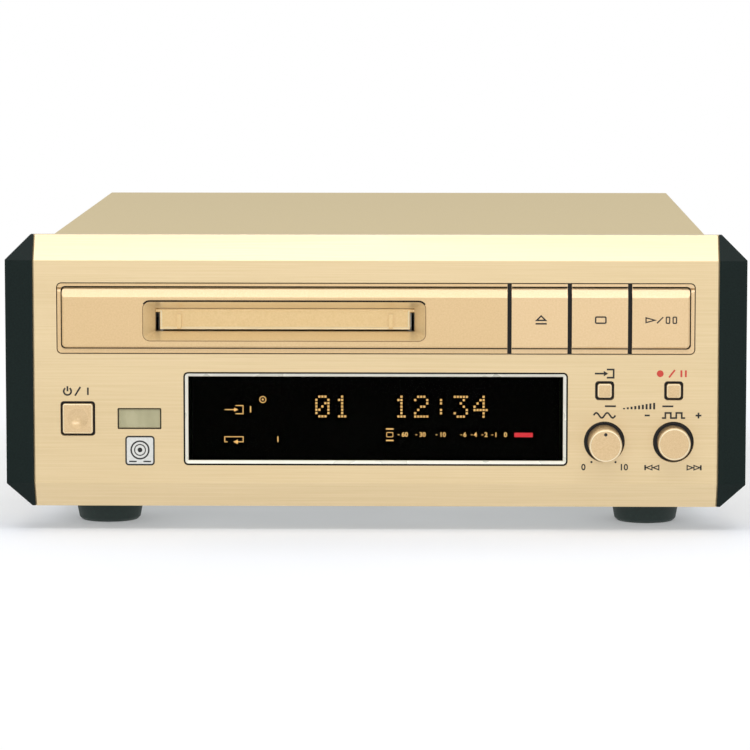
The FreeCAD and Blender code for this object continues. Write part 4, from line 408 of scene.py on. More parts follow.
# %% [markdown]
# ## From outlines to pieces
# The panel's symbols are screen printed: a film of ink about 0.03 mm thick. An image could show
# them, but outlines stay sharp at any distance. Each symbol is a few flat outlines in millimetres,
# thickened towards the viewer into a closed solid. A stroke is a path with a width, mitred at its
# corners.

# %% Outlines for printing
INK = 0.03
CORNERS = ((1, 1, 0), (-1, 1, 90), (-1, -1, 180), (1, -1, 270))
# a corner sharper than this cosine of half its turn is cut short
MITRE_LIMIT = 0.3


def bar(x, z, width, height):
    """A rectangle round a middle point."""
    return [[(x - width / 2, z - height / 2), (x + width / 2, z - height / 2),
             (x + width / 2, z + height / 2), (x - width / 2, z + height / 2)]]


def stroke(points, width, closed=False):
    """Quads along a path, mitred where it turns."""
    count = len(points)
    sides = []
    for i, point in enumerate(points):
        here = Vector(point)
        before = Vector(points[i - 1]) if i or closed else None
        after = Vector(points[(i + 1) % count]) if i < count - 1 or closed else None
        ways = [w.normalized() for w in (before and here - before, after and after - here) if w]
        normals = [Vector((-w.y, w.x)) for w in ways]
        middle = sum(normals, Vector((0, 0))).normalized()
        reach = width / 2 / max(MITRE_LIMIT, middle.dot(normals[0]))
        sides.append((here + middle * reach, here - middle * reach))
    quads = []
    for i in range(count if closed else count - 1):
        (a, b), (c, d) = sides[i], sides[(i + 1) % count]
        quads.append([a, b, d, c])
    return quads


def arc(x, z, radius, start, end, steps=24):
    """Points round a middle, angles in degrees from +X."""
    turns = [math.radians(start + (end - start) * i / steps) for i in range(steps + 1)]
    return [(x + radius * math.cos(t), z + radius * math.sin(t)) for t in turns]


def disc(x, z, radius, steps=24):
    """A filled circle."""
    return [arc(x, z, radius, 0, 360, steps)[:-1]]


def ring(x, z, radius, width, steps=32):
    """A closed round stroke."""
    return stroke(disc(x, z, radius, steps)[0], width, closed=True)


def rounded_path(x, z, width, height, radius, steps=6):
    """Points round a rectangle with round corners."""
    path = []
    for sx, sz, start in CORNERS:
        path += arc(x + sx * (width / 2 - radius), z + sz * (height / 2 - radius), radius,
                    start, start + 90, steps)
    return path


def rounded(x, z, width, height, radius, line):
    """A closed stroke round a rectangle with round corners."""
    return stroke(rounded_path(x, z, width, height, radius), line, closed=True)


print("ink is", INK, "mm thick")

# %% [markdown]
# ## Figures
# Plain figures are the only lettering. A text object gives their shape, read as flat outlines, so
# one function prints figures and symbols alike.

# %% Figures as outlines
FIGURE_SHARE, FIGURE_WEIGHT = 0.69, 0.035


def number(text, x, z, height):
    """Figures in a plain face, as flat outlines round a middle point."""
    curve = bpy.data.curves.new("figures", "FONT")
    curve.body = text
    curve.align_x = "CENTER"
    curve.align_y = "CENTER"
    curve.size = height / FIGURE_SHARE
    curve.resolution_u = 3
    curve.offset = height * FIGURE_WEIGHT
    holder = placed("figures", curve)
    graph = bpy.context.evaluated_depsgraph_get()
    mesh = bpy.data.meshes.new_from_object(holder.evaluated_get(graph))
    outlines = [[(x + mesh.vertices[v].co.x, z + mesh.vertices[v].co.y) for v in face.vertices]
                for face in mesh.polygons]
    bpy.data.batch_remove((holder, curve, mesh))
    return outlines


print("a figure takes", FIGURE_SHARE, "of its font size")

# %% [markdown]
# ## Pieces that ride
# Every added piece is a closed mesh that rides on a body of the mechanism. One function makes a
# flat plate from outlines, black ink on the housing unless its call says otherwise, and another a
# solid from points. Both end in the same step: turn the faces outwards, put on the finish and
# attach the piece to its body.

# %% Plates and solids
def keep_piece(name, mesh, body):
    """Put a mesh in the scene as a piece that rides on a body."""
    piece = placed(name, mesh)
    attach(piece, body)


def close_piece(name, shape, body, worn):
    """Turn the faces of a shape outwards, give it a finish and keep it as a piece."""
    bmesh.ops.recalc_face_normals(shape, faces=shape.faces)
    mesh = bpy.data.meshes.new(name)
    shape.to_mesh(mesh)
    shape.free()
    mesh.materials.append(finishes[worn])
    keep_piece(name, mesh, body)


def plate(name, outlines, front_y, body="housing", worn="black_ink",
          thickness=INK):
    """A flat piece from outlines in millimetres, thickened towards -Y from front_y."""
    shape = bmesh.new()
    for outline in outlines:
        shape.faces.new([shape.verts.new((x * MM, front_y, z * MM)) for x, z in outline])
    bmesh.ops.remove_doubles(shape, verts=shape.verts, dist=1e-6)
    bmesh.ops.dissolve_degenerate(shape, edges=shape.edges, dist=1e-7)
    grown = bmesh.ops.extrude_face_region(shape, geom=shape.faces[:])
    moved = [g for g in grown["geom"] if isinstance(g, bmesh.types.BMVert)]
    bmesh.ops.translate(shape, verts=moved, vec=(0, -thickness * MM, 0))
    close_piece(name, shape, body, worn)


def solid_piece(name, points, faces, body, worn):
    """A closed piece from points in millimetres and the faces between them."""
    shape = bmesh.new()
    corners = [shape.verts.new([c * MM for c in point]) for point in points]
    for face in faces:
        shape.faces.new([corners[i] for i in face])
    bmesh.ops.remove_doubles(shape, verts=shape.verts, dist=1e-7)
    close_piece(name, shape, body, worn)


# %% [markdown]
# ## Symbols on the front panel
# The controls carry the international symbols instead of words: standby and on, input, record and
# pause, a wedge for the recording level, a sine wave for the analogue side and a square wave for
# the digital side, minus and plus, 0 and 10 at the ends of the level scale, and skip marks. Each
# is drawn round its own middle.

# %% Drawings of the panel's symbols
LINE, FINE_LINE, BAR_LINE = 0.5, 0.32, 0.55


def power_symbol(x, z):
    """A broken ring with a bar, a slash and a plain bar: standby and on."""
    marks = stroke(arc(x - 3, z, 1.1, 125, 415), LINE) + bar(x - 3, z + 0.75, LINE, 1.5)
    marks += stroke([(x - 0.8, z - 1.3), (x + 0.8, z + 1.3)], LINE)
    return marks + bar(x + 3, z, LINE, 2.2)


def input_symbol(x, z):
    """An arrow that enters a bracket."""
    marks = bar(x - 1.6, z, 2.6, LINE)
    marks += [[(x - 0.3, z - 0.8), (x + 1.0, z), (x - 0.3, z + 0.8)]]
    return marks + stroke([(x + 0.6, z + 1.2), (x + 2.6, z + 1.2),
                           (x + 2.6, z - 1.2), (x + 0.6, z - 1.2)], LINE)


def record_symbol(x, z):
    """A filled dot, a slash and two bars."""
    marks = disc(x - 3.6, z, 1.0) + stroke([(x - 1.0, z - 1.1), (x + 0.7, z + 1.1)], LINE)
    return marks + bar(x + 2.6, z, BAR_LINE, 2.0) + bar(x + 3.9, z, BAR_LINE, 2.0)


def level_symbol(x, z):
    """A rising wedge of nine bars between two dashes."""
    marks = bar(x - 8.4, z, 3.2, LINE) + bar(x + 8.4, z, 3.2, LINE)
    for step in range(9):
        height = 0.4 + 0.19 * step
        marks += bar(x - 4.4 + 1.1 * step, z - 0.9 + height / 2, 0.6, height)
    return marks


def sine_symbol(x, z, steps=28):
    """Two periods of a sine wave."""
    return stroke([(x - 3.2 + 6.4 * i / steps, z + 0.75 * math.sin(4 * math.pi * i / steps))
                   for i in range(steps + 1)], LINE)


def pulse_symbol(x, z):
    """Two periods of a square wave."""
    path = [(x - 3.4, z - 0.75)]
    for step in range(4):
        edge = x - 2.4 + 1.6 * step
        path += [(edge, path[-1][1]), (edge, z + (0.75 if step % 2 == 0 else -0.75))]
    return stroke(path + [(x + 3.4, path[-1][1])], LINE)


def plus_symbol(x, z):
    """A bar across and half a bar above and below it."""
    return bar(x, z, 1.7, LINE) + bar(x, z + 0.5, LINE, 0.7) + bar(x, z - 0.5, LINE, 0.7)


def skip_symbol(x, z, way):
    """Two outlined arrowheads and a bar, pointing one way."""
    marks = bar(x + way * 2.6, z, LINE, 1.5)
    for tip in (2.3, 0.3):
        back = x + way * (tip - 1.7)
        corners = [(x + way * tip, z), (back, z + 0.65), (back, z - 0.65)]
        marks += stroke(corners if way < 0 else corners[::-1], FINE_LINE, closed=True)
    return marks


print("lines are", LINE, "mm wide")

# %% Print the panel
STANDBY_X, STANDBY_Z = -87.4, 41.9
LEVEL_X, JOG_X, RECORD_X = 67.1, 87.3, 86.9
KEYS_Z, LEVEL_ROW_Z, KIND_ROW_Z, SCALE_ROW_Z = 47.4, 37.8, 35.1, 19.7
MINUS_X, PLUS_X = 79.6, 94.6
ZERO_X, TEN_X, FIGURE_HEIGHT = 61.0, 72.8, 1.8
SCALE_DOTS_X, SCALE_DOTS_Z, SCALE_DOT = (63.35, 70.4), 21.3, 0.32
BACK_X, ONWARD_X = 81.7, 92.8

symbols = power_symbol(STANDBY_X, STANDBY_Z) + input_symbol(LEVEL_X, KEYS_Z)
symbols += level_symbol((LEVEL_X + JOG_X) / 2, LEVEL_ROW_Z)
symbols += sine_symbol(LEVEL_X, KIND_ROW_Z) + pulse_symbol(JOG_X, KIND_ROW_Z)
symbols += bar(MINUS_X, KIND_ROW_Z, 1.5, LINE) + plus_symbol(PLUS_X, KIND_ROW_Z)
symbols += number("0", ZERO_X, SCALE_ROW_Z, FIGURE_HEIGHT)
symbols += number("10", TEN_X, SCALE_ROW_Z, FIGURE_HEIGHT)
for x in SCALE_DOTS_X:
    symbols += disc(x, SCALE_DOTS_Z, SCALE_DOT, 12)
symbols += skip_symbol(BACK_X, SCALE_ROW_Z, -1) + skip_symbol(ONWARD_X, SCALE_ROW_Z, 1)
plate("panel_symbols", symbols, face_y)
plate("record_symbol", record_symbol(RECORD_X, KEYS_Z), face_y, worn="red_ink")
print("panel symbols:", len(symbols), "outlines")

# %% [markdown]
# ## Disc pictogram
# Left of the display a small printed square shows a plain disc in its case: silver ground, black
# lines. The lines are a second film of ink on the ground.

# %% Disc pictogram
BADGE_X, BADGE_Z = -69.2, 24.4


def cartridge_badge(x, z):
    """A plain disc in a square case."""
    marks = rounded(x, z, 8.2, 8.3, 0.8, 0.45)
    marks += ring(x, z + 0.2, 2.6, 0.45) + ring(x, z + 0.2, 1.6, 0.3) + disc(x, z + 0.2, 0.7)
    return marks + bar(x - 2.1, z - 3.2, 2.2, 0.4) + bar(x + 2.1, z - 3.2, 2.2, 0.4)


plate("badge_ground", [rounded_path(BADGE_X, BADGE_Z, 8.4, 8.5, 0.6, 5)], face_y,
      worn="silver_ink")
plate("badge_lines", cartridge_badge(BADGE_X, BADGE_Z), face_y - INK * MM)
print("badge at", BADGE_X, BADGE_Z)

# %% [markdown]
# ## Symbols on the keys
# Each long key is printed on its face, the part of the key nearest to the viewer, and its symbol
# moves with it. The play key's lines are finer, because it has more marks in the same width.

# %% Key symbols
KEY_Z, KEY_LINE, PLAY_LINE = 63.2, 0.42, 0.36


def eject_symbol(x, z):
    """An outlined arrowhead over a bar."""
    corners = [(x - 1.3, z - 0.1), (x, z + 1.2), (x + 1.3, z - 0.1)]
    return stroke(corners, KEY_LINE, closed=True) + bar(x, z - 1.1, 3.3, 0.45)


def stop_symbol(x, z):
    """An outlined rectangle."""
    return rounded(x, z, 3.0, 1.8, 0.3, KEY_LINE)


def play_symbol(x, z):
    """An outlined arrowhead, a slash and two outlined bars."""
    marks = stroke([(x - 4.2, z - 0.7), (x - 1.6, z), (x - 4.2, z + 0.7)], PLAY_LINE, closed=True)
    marks += stroke([(x - 1.0, z - 0.9), (x + 0.8, z + 0.9)], PLAY_LINE)
    for middle in (x + 2.2, x + 4.2):
        marks += rounded(middle, z, 1.0, 1.8, 0.25, PLAY_LINE)
    return marks


# where each symbol stands along X, and its drawing
KEYS = {"eject": (48.4, eject_symbol), "stop": (65.8, stop_symbol), "play": (83.2, play_symbol)}
for key, (x, draw) in KEYS.items():
    button = key + "_button"
    plate(key + "_symbol", draw(x, KEY_Z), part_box(button)[0].y, button)
print("keys printed:", *KEYS)

# %% [markdown]
# ## Rings round an opening
# Painted highlights on thin edges and painted shade in thin joints give the front its crisp look.
# Most are rings round a window, a slot or a knob. A ring's section is given as distances outwards
# from a rounded rectangle and forwards from the panel's face. Each corner of the section becomes
# a loop, and faces join the loops. A knob's ring is the same thing with all its size in the
# corners.

# %% Ring helpers
def ringed(name, place, loops, body="housing", worn="shadow_joint",
           steps=6):
    """A closed ring through rounded rectangles: each loop is (width, height, radius, forward)."""
    paths = [rounded_path(*place, *loop[:3], steps) for loop in loops]
    face = face_y / MM
    points = [(x, face - loop[3], z) for spoke in zip(*paths) for (x, z), loop in zip(spoke, loops)]
    count, spokes = len(loops), len(paths[0])
    faces = []
    for spoke in range(spokes):
        here, following = spoke * count, (spoke + 1) % spokes * count
        for loop in range(count):
            after = (loop + 1) % count
            faces.append((here + loop, here + after, following + after, following + loop))
    solid_piece(name, points, faces, body, worn)


def offsets(extent, radius, section):
    """Loops that follow a rounded rectangle at (outward, forward) distances from it."""
    return [(extent[0] + 2 * outward, extent[1] + 2 * outward, radius + outward, forward)
            for outward, forward in section]


print("panel face at y =", round(face_y / MM, 2), "mm")

# %% [markdown]
# ## Edges of the windows
# The display window lies behind an opening with a chamfer. A thin pale film on the chamfer is a
# painted highlight for the light that the chamfer catches, and a dark line of painted shade runs
# round it. The infrared window has only the dark line.

# %% Window edges
WINDOW, WINDOW_EXTENT = (0.0, 33.875), (110.0, 24.8)
REMOTE, REMOTE_EXTENT = (-69.3, 33.875), (12.3, 5.6)
# a corner radius that looks sharp
SHARP = 0.01
CUT_FOOT, CUT_TOP, TOP_BACK, FOOT_BACK = (0.02, -1.04), (0.88, -0.18), (0.88, -0.22), (0.02, -1.08)
LINE_FROM, LINE_TO, REMOTE_LINE = 1.1, 1.36, 0.28

# a pale film on the chamfer: painted highlight
ringed("window_bright_edge", WINDOW,
       offsets(WINDOW_EXTENT, SHARP, [CUT_FOOT, CUT_TOP, TOP_BACK, FOOT_BACK]),
       worn="bright_cut_aluminium")
# dark lines of painted shade round both windows
ringed("window_joint", WINDOW,
       offsets(WINDOW_EXTENT, SHARP, [CUT_TOP, (LINE_FROM, INK), (LINE_TO, INK), (LINE_TO, 0),
                                      (LINE_FROM, 0), TOP_BACK]))
ringed("remote_joint", REMOTE,
       offsets(REMOTE_EXTENT, SHARP, [(0, 0), (0, INK), (REMOTE_LINE, INK), (REMOTE_LINE, 0)]))
print("windows", WINDOW_EXTENT, REMOTE_EXTENT)

# %% [markdown]
# ## Slot joint and funnel
# Where the slot's funnel meets the face of the strip a fine bronze line of painted shade runs
# round, and a darker one along the top, which lies in shadow. A thin film lies on the funnel's four
# sides, in a paler, greener tone than the strip's: painted light and shade for how its walls are
# lit.

# %% Slot joint and funnel
SLOT_X, SLOT_Z, SLOT_EXTENT, SLOT_CORNER = -26.7, 62.65, (82.6, 11.35), 2.0
THROAT_EXTENT, THROAT_CORNER, THROAT_DEPTH = (76.2, 6.9), 0.1, 4.6
JOINT_LINE, TOP_LINE, TOP_LINE_OUT, TOP_LINE_TURN = 0.22, 0.45, 0.3, 55
FILM, FILM_SUNK = 0.04, 0.01
pad_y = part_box("slot_fascia")[0].y
proud = (face_y - pad_y) / MM

# a bronze line of painted shade where the funnel meets the strip's face
ringed("slot_joint", (SLOT_X, SLOT_Z),
       offsets(SLOT_EXTENT, SLOT_CORNER, [(0, proud), (0, proud + INK),
                                          (JOINT_LINE, proud + INK), (JOINT_LINE, proud)]),
       worn="bronze_joint")
corner_x = SLOT_EXTENT[0] / 2 - SLOT_CORNER
corner_z = SLOT_Z + SLOT_EXTENT[1] / 2 - SLOT_CORNER
top_radius = SLOT_CORNER + TOP_LINE_OUT
top_path = arc(SLOT_X + corner_x, corner_z, top_radius, 90 - TOP_LINE_TURN, 90, 8)
top_path += arc(SLOT_X - corner_x, corner_z, top_radius, 90, 90 + TOP_LINE_TURN, 8)
plate("slot_top_joint", stroke(top_path, TOP_LINE), pad_y - INK * MM, worn="shadow_joint")
mouth, throat = (*SLOT_EXTENT, SLOT_CORNER), (*THROAT_EXTENT, THROAT_CORNER)
# the film on the funnel's sides: painted light and shade in a tone of its own
ringed("funnel_lacquer", (SLOT_X, SLOT_Z),
       [(*mouth, proud - FILM_SUNK), (*throat, -THROAT_DEPTH),
        (throat[0] - 2 * FILM, throat[1] - 2 * FILM, THROAT_CORNER, -THROAT_DEPTH),
        (mouth[0] - 2 * FILM, mouth[1] - 2 * FILM, SLOT_CORNER - FILM, proud - FILM_SUNK)],
       worn="champagne_funnel_lacquer")
print("the strip stands", round(proud, 2), "mm proud")

# %% [markdown]
# ## Painted shade in the groove round the strip
# A groove runs round the strip's raised pad and across all three keys, narrow and deep, so hardly
# any light leaves it. A dark strip deep in it is painted shade that gives that look in any light.
# Each key carries its own length of it, so the line moves with the key.

# %% Strip groove
GROOVE_Z, GROOVE_RISE, GROOVE_END_X, GROOVE_CORNER = 63.7, 9.0, 92.0, 1.2
GROOVE_LINE, GROOVE_DEEP, GROOVE_FILL = 0.36, 0.6, 0.4
STRIP_STOP_X, PLAY_START_X = 38.45, 75.1
EJECT_SPAN, STOP_SPAN = (39.9, 56.05), (57.5, 73.65)


def groove_end(side, inner_x):
    """The groove round one end of the strip, from inner_x above to inner_x below."""
    x, rise = GROOVE_END_X - GROOVE_CORNER, GROOVE_RISE - GROOVE_CORNER
    path = arc(x, GROOVE_Z + rise, GROOVE_CORNER, 90, 0, 6)
    path += arc(x, GROOVE_Z - rise, GROOVE_CORNER, 0, -90, 6)
    path = [(side * px, pz) for px, pz in path]
    return stroke([(inner_x, GROOVE_Z + GROOVE_RISE)] + path + [(inner_x, GROOVE_Z - GROOVE_RISE)],
                  GROOVE_LINE)


def groove_lengths(left, right):
    """The two lengths of groove above and below one key."""
    return [quad for z in (GROOVE_Z + GROOVE_RISE, GROOVE_Z - GROOVE_RISE)
            for quad in bar((left + right) / 2, z, right - left, GROOVE_LINE)]


GROOVES = {"slot_fascia": groove_end(-1, STRIP_STOP_X),
           "eject_button": groove_lengths(*EJECT_SPAN),
           "stop_button": groove_lengths(*STOP_SPAN),
           "play_button": groove_end(1, PLAY_START_X)}
# each length is a dark strip of painted shade deep in the groove
for part, outlines in GROOVES.items():
    body = "housing" if part == "slot_fascia" else part
    plate(part + "_groove_paint", outlines, face_y + GROOVE_DEEP * MM, body, "shadow_joint",
          thickness=GROOVE_FILL)
print("groove painted on", *GROOVES)

# %% [markdown]
# ## Lip of the flap
# The flap has a low moulded lip along its foot and its two sides, which catches the light. Each
# length is a ridge that rises steeply from the edge and slopes back to the flap, and rides on it.
# Its pale finish is a painted highlight, paler than the flap's lacquer.

# %% Flap lip
FLAP_BEHIND = 5.2
LIP_LEFT, LIP_RIGHT, LIP_LOW, LIP_HIGH = -63.35, 9.95, 59.8, 65.4
LOW_LIP, SIDE_LIP = (0.7, 0.08, 0.4), (0.5, 0.0625, 0.25)
flap_front = face_y / MM + FLAP_BEHIND


def lip(name, start, end, inward, section):
    """A ridge from start to end; its section is (width, distance of the crest, height)."""
    width, crest, height = section
    points = []
    for x, z in (start, end):
        points += [(x + inward[0] * away, flap_front - rise, z + inward[1] * away)
                   for away, rise in ((0, 0), (crest, height), (width, 0))]
    faces = [(0, 1, 2), (3, 4, 5), (0, 1, 4, 3), (1, 2, 5, 4), (2, 0, 3, 5)]
    solid_piece(name, points, faces, "slot_flap", "bright_cut_champagne")


side_low = LIP_LOW + LOW_LIP[0]
# the lips' pale finish is a painted highlight
lip("flap_lip_low", (LIP_LEFT, LIP_LOW), (LIP_RIGHT, LIP_LOW), (0, 1), LOW_LIP)
lip("flap_lip_left", (LIP_LEFT, side_low), (LIP_LEFT, LIP_HIGH), (1, 0), SIDE_LIP)
lip("flap_lip_right", (LIP_RIGHT, side_low), (LIP_RIGHT, LIP_HIGH), (-1, 0), SIDE_LIP)
print("flap face at y =", round(flap_front, 2), "mm")

# %% [markdown]
# ## Edges of the knobs and buttons
# A narrow pale ring lies on the front edge of each knob and square button, as on the window's
# chamfer: a painted highlight for the light that edge catches. It falls back towards the outside
# and rides on its knob or button.

# %% Knob and button edges
KNOB_FRONTS = {"level_knob": 8.6, "jog_knob": 8.5}
BUTTON_CAPS = {"standby_button": 8.8, "input_button": 4.1, "record_button": 4.1}
KNOB_EDGE, BUTTON_EDGE, BUTTON_CORNER = (0, 0.28, 0.25), (-0.35, -0.1, 0.22), 0.7


def front_of(part):
    """A node's middle along X and Z in millimetres, and its front in metres."""
    low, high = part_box(part)
    middle = (low + high) / 2 / MM
    return middle.x, middle.z, low.y


def bright_edge(part, width, corner, section, steps):
    """A ring of painted highlight on a front edge: section is (inside, outside, how far it falls
    back).
    """
    inside, outside, fall = section
    x, z, front_y = front_of(part)
    reach = (face_y - front_y) / MM
    loops = offsets((width, width), corner,
                    [(inside, reach), (inside, reach + INK),
                     (outside, reach - fall), (outside, reach - fall - INK)])
    ringed(part + "_bright_edge", (x, z), loops, part, "bright_cut_champagne", steps)


# pale rings of painted highlight on the front edges
for knob, width in KNOB_FRONTS.items():
    bright_edge(knob, width, width / 2, KNOB_EDGE, 12)
for button, width in BUTTON_CAPS.items():
    bright_edge(button, width, BUTTON_CORNER, BUTTON_EDGE, 6)
print("bright edges on", *KNOB_FRONTS, *BUTTON_CAPS)

# %% [markdown]
# ## Channel rings on the sockets
# Phono sockets carry a coloured plastic ring at their foot: white for the left channel and red for
# the right. Each ring lies on a socket's black collar, round the plated sleeve. The back faces the
# other way, so a ring lies behind its collar.

# %% Channel rings
RING_RADIUS, RING_WIDTH, RING_THICKNESS = 4.85, 1.1, 0.25
SOCKETS_X = (-82, -66)
# the height of each channel's sockets, and the finish of their rings
CHANNELS = {"left": (48, "white_socket_ring"), "right": (32, "red_socket_ring")}
collar_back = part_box("jack_block")[1].y
for channel, (z, worn) in CHANNELS.items():
    outlines = [quad for x in SOCKETS_X for quad in ring(x, z, RING_RADIUS, RING_WIDTH)]
    plate(channel + "_channel_rings", outlines, collar_back + RING_THICKNESS * MM, worn=worn,
          thickness=RING_THICKNESS)
print("channel rings:", *CHANNELS)

# %% [markdown]
# ## Characters from dots
# The display draws its characters with a grid of 5 by 7 phosphor dots. Geometry Nodes is the right
# tool: the script makes one vertex for each lit dot, and the tree puts a small block on each.

# %% A tree that puts a block on every point
BLOCK_SIZES = ("Width", "Depth", "Height")


def block_tree(name, worn):
    """Instances of a block on the points of a mesh; Width, Depth and Height are its inputs."""
    tree = bpy.data.node_groups.new(name, "GeometryNodeTree")
    tree.interface.new_socket("Points", in_out="INPUT", socket_type="NodeSocketGeometry")
    for label in BLOCK_SIZES:
        tree.interface.new_socket(label, in_out="INPUT", socket_type="NodeSocketFloat")
    tree.interface.new_socket("Blocks", in_out="OUTPUT", socket_type="NodeSocketGeometry")
    inside = add(tree, "NodeGroupInput")
    extent = add(tree, "ShaderNodeCombineXYZ",
                 links={axis: inside.outputs[label] for axis, label in zip("XYZ", BLOCK_SIZES)})
    block = add(tree, "GeometryNodeMeshCube", links={"Size": extent.outputs["Vector"]})
    copies = add(tree, "GeometryNodeInstanceOnPoints",
                 links={"Points": inside.outputs["Points"], "Instance": block.outputs["Mesh"]})
    real = add(tree, "GeometryNodeRealizeInstances",
               links={"Geometry": copies.outputs["Instances"]})
    coat = add(tree, "GeometryNodeSetMaterial", {"Material": finishes[worn]},
               {"Geometry": real.outputs["Geometry"]})
    add(tree, "NodeGroupOutput", links={"Blocks": coat.outputs["Geometry"]})
    return tree


def blocks(name, points, extent, body, worn):
    """A piece with one block of an extent in millimetres round each point in millimetres."""
    mesh = bpy.data.meshes.new(name)
    mesh.from_pydata([[c * MM for c in point] for point in points], [], [])
    seeds = placed(name + "_points", mesh)
    modifier = seeds.modifiers.new("blocks", "NODES")
    modifier.node_group = block_tree(name + "_tree", worn)
    sizes = dict(zip(BLOCK_SIZES, extent))
    for item in modifier.node_group.interface.items_tree:
        if item.name in sizes:
            modifier[item.identifier] = sizes[item.name] * MM
    graph = bpy.context.evaluated_depsgraph_get()
    result = bpy.data.meshes.new_from_object(seeds.evaluated_get(graph))
    bpy.data.objects.remove(seeds)
    result.name = name
    keep_piece(name, result, body)


print("a block's inputs:", *BLOCK_SIZES)

# %% [markdown]
# ## What the display shows
# The lit field reads track 01 at 12 minutes 34 seconds, over a level scale in decibels. The dots
# lie on the display tube, behind the smoked window. A point is first given where it appears on
# the panel's face and then moved back along the line of sight.

# %% Display field
# the rows of each figure from the top down, 1 for a lit dot
FIGURES = {
    "0": "01110 10001 10011 10101 11001 10001 01110",
    "1": "00100 01100 00100 00100 00100 00100 01110",
    "2": "01110 10001 00001 00110 01000 10000 11111",
    "3": "11111 00010 00100 00010 00001 10001 01110",
    "4": "00010 00110 01010 10010 11111 00010 00010",
    ":": "00000 00100 00100 00000 00100 00100 00000",
    " ": "",
}
SHOWN = "01  12:34"
TEXT_LEFT, TEXT_TOP = -17.3, 40.6
CHARACTER_PITCH, COLUMN_PITCH, ROW_PITCH = 5.79, 0.8827, 0.97
DOT_SIZE, GLOW = 0.62, 0.05
tube_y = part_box("display_tube")[0].y


def seen(x, z):
    """Where a line of sight through the face at x, z in millimetres meets the tube."""
    share = (tube_y - CAMERA.y) / (face_y - CAMERA.y)
    eye_x, eye_z = CAMERA.x / MM, CAMERA.z / MM
    return (eye_x + (x - eye_x) * share, eye_z + (z - eye_z) * share)


dots = []
for place, figure in enumerate(SHOWN):
    for row, pattern in enumerate(FIGURES[figure].split()):
        for column, lit in enumerate(pattern):
            if lit == "1":
                x, z = seen(TEXT_LEFT + CHARACTER_PITCH * place + COLUMN_PITCH * column,
                            TEXT_TOP - ROW_PITCH * row)
                dots.append((x, tube_y / MM - GLOW / 2, z))
blocks("display_dots", dots, (DOT_SIZE, GLOW, DOT_SIZE), "housing", "amber_phosphor")
print(len(dots), "dots lit")

# %% [markdown]
# ## Level scale and small marks
# Round the characters the tube has fixed marks, printed in their own shape: the scale's figures
# with their minus signs, a cartridge, a disc, an input arrow, a repeat arrow and, in red, the bar
# for a level that is too high. They are outlines like the ink, only lit.

# %% Level scale and small marks
SCALE_Z, SCALE_FIGURE, MARK_LINE = 29.4, 1.3, 0.25
DECIBELS = {"60": 8.6, "30": 13.8, "10": 19.7, "6": 26.2, "4": 29.3, "2": 32.4, "1": 35.3,
            "0": 38.1}
CASE_X, OVER_X, OVER_WIDTH = 4.2, 43.4, 5.4
DISC_MARK = (-33.0, 39.7)
INPUT_SHAFT = [(-44.2, 36.7), (-41.2, 36.7)]
INPUT_HEAD = [(-41.4, 36.1), (-40.2, 36.7), (-41.4, 37.3)]
INPUT_BRACKET = [(-41.0, 37.9), (-38.8, 37.9), (-38.8, 35.5), (-41.0, 35.5)]
REPEAT_LOOP = [(-43.4, 27.2), (-44.2, 27.2), (-44.2, 28.7), (-38.8, 28.7), (-38.8, 27.2),
               (-40.6, 27.2)]
REPEAT_HEAD = [(-40.4, 26.5), (-40.4, 27.9), (-41.7, 27.2)]

scale = []
for text, x in DECIBELS.items():
    scale += number(text, x, SCALE_Z, SCALE_FIGURE)
    if text != "0":
        scale += bar(x - 0.75 * len(text) - 0.3, SCALE_Z, 0.5, 0.2)
scale += bar(CASE_X, SCALE_Z + 1.7, 2.2, 0.4) + bar(CASE_X, SCALE_Z - 1.7, 2.2, 0.4)
scale += rounded(CASE_X, SCALE_Z, 1.8, 1.3, 0.2, 0.2)
scale += ring(*DISC_MARK, 0.9, MARK_LINE, 20) + disc(*DISC_MARK, 0.3, 10)
scale += stroke(INPUT_SHAFT, MARK_LINE) + [INPUT_HEAD] + stroke(INPUT_BRACKET, MARK_LINE)
scale += number("1", -36.6, 36.7, 1.7)
scale += stroke(REPEAT_LOOP, MARK_LINE) + [REPEAT_HEAD] + number("1", -28.6, 27.9, 1.6)
over = bar(OVER_X, SCALE_Z, OVER_WIDTH, SCALE_FIGURE)
for name, outlines, worn in (("display_marks", scale, "amber_phosphor"),
                             ("display_over_mark", over, "red_phosphor")):
    moved_back = [[seen(x, z) for x, z in outline] for outline in outlines]
    plate(name, moved_back, tube_y, worn=worn, thickness=GLOW)
print("scale marks:", len(scale))

# %% [markdown]
# ## Pointer dot on the level knob
# A small black dot shows where the level knob points. It is printed on the knob's front face, so
# it turns with the knob.

# %% Pointer dot
POINTER_UP, POINTER_RADIUS = 3.3, 0.5
knob_x, knob_z, knob_y = front_of("level_knob")
plate("level_pointer", disc(knob_x, knob_z + POINTER_UP, POINTER_RADIUS), knob_y, "level_knob")
print("pointer at", round(knob_x, 1), round(knob_z + POINTER_UP, 1))

# %% [markdown]
# ## Floor
# The deck stands on a large flat disc of white paper, so that no edge shows. Near the deck the
# camera sees mostly the paper as it is lit, with the shadow on it, and farther off plain white.
# Mirror and glass rays see plain white everywhere, as they would in a white studio.

# %% Floor
FLOOR_RADIUS = 30.0
floor_mesh = bpy.data.meshes.new("floor")
floor_shape = bmesh.new()
bmesh.ops.create_circle(floor_shape, cap_ends=True, segments=64, radius=FLOOR_RADIUS)
floor_shape.to_mesh(floor_mesh)
floor_shape.free()
floor = placed("floor", floor_mesh)
# uncoated paper: matte, with faint broad clouds
paper = finish("white_paper", specular_ior_level=0.1)
dress(paper, "#EFF3FA", "#F6F9FF", grain(paper.node_tree, 200), (0.8, 0.9), 0.001)
floor_mesh.materials.append(paper)
print("floor radius", FLOOR_RADIUS)

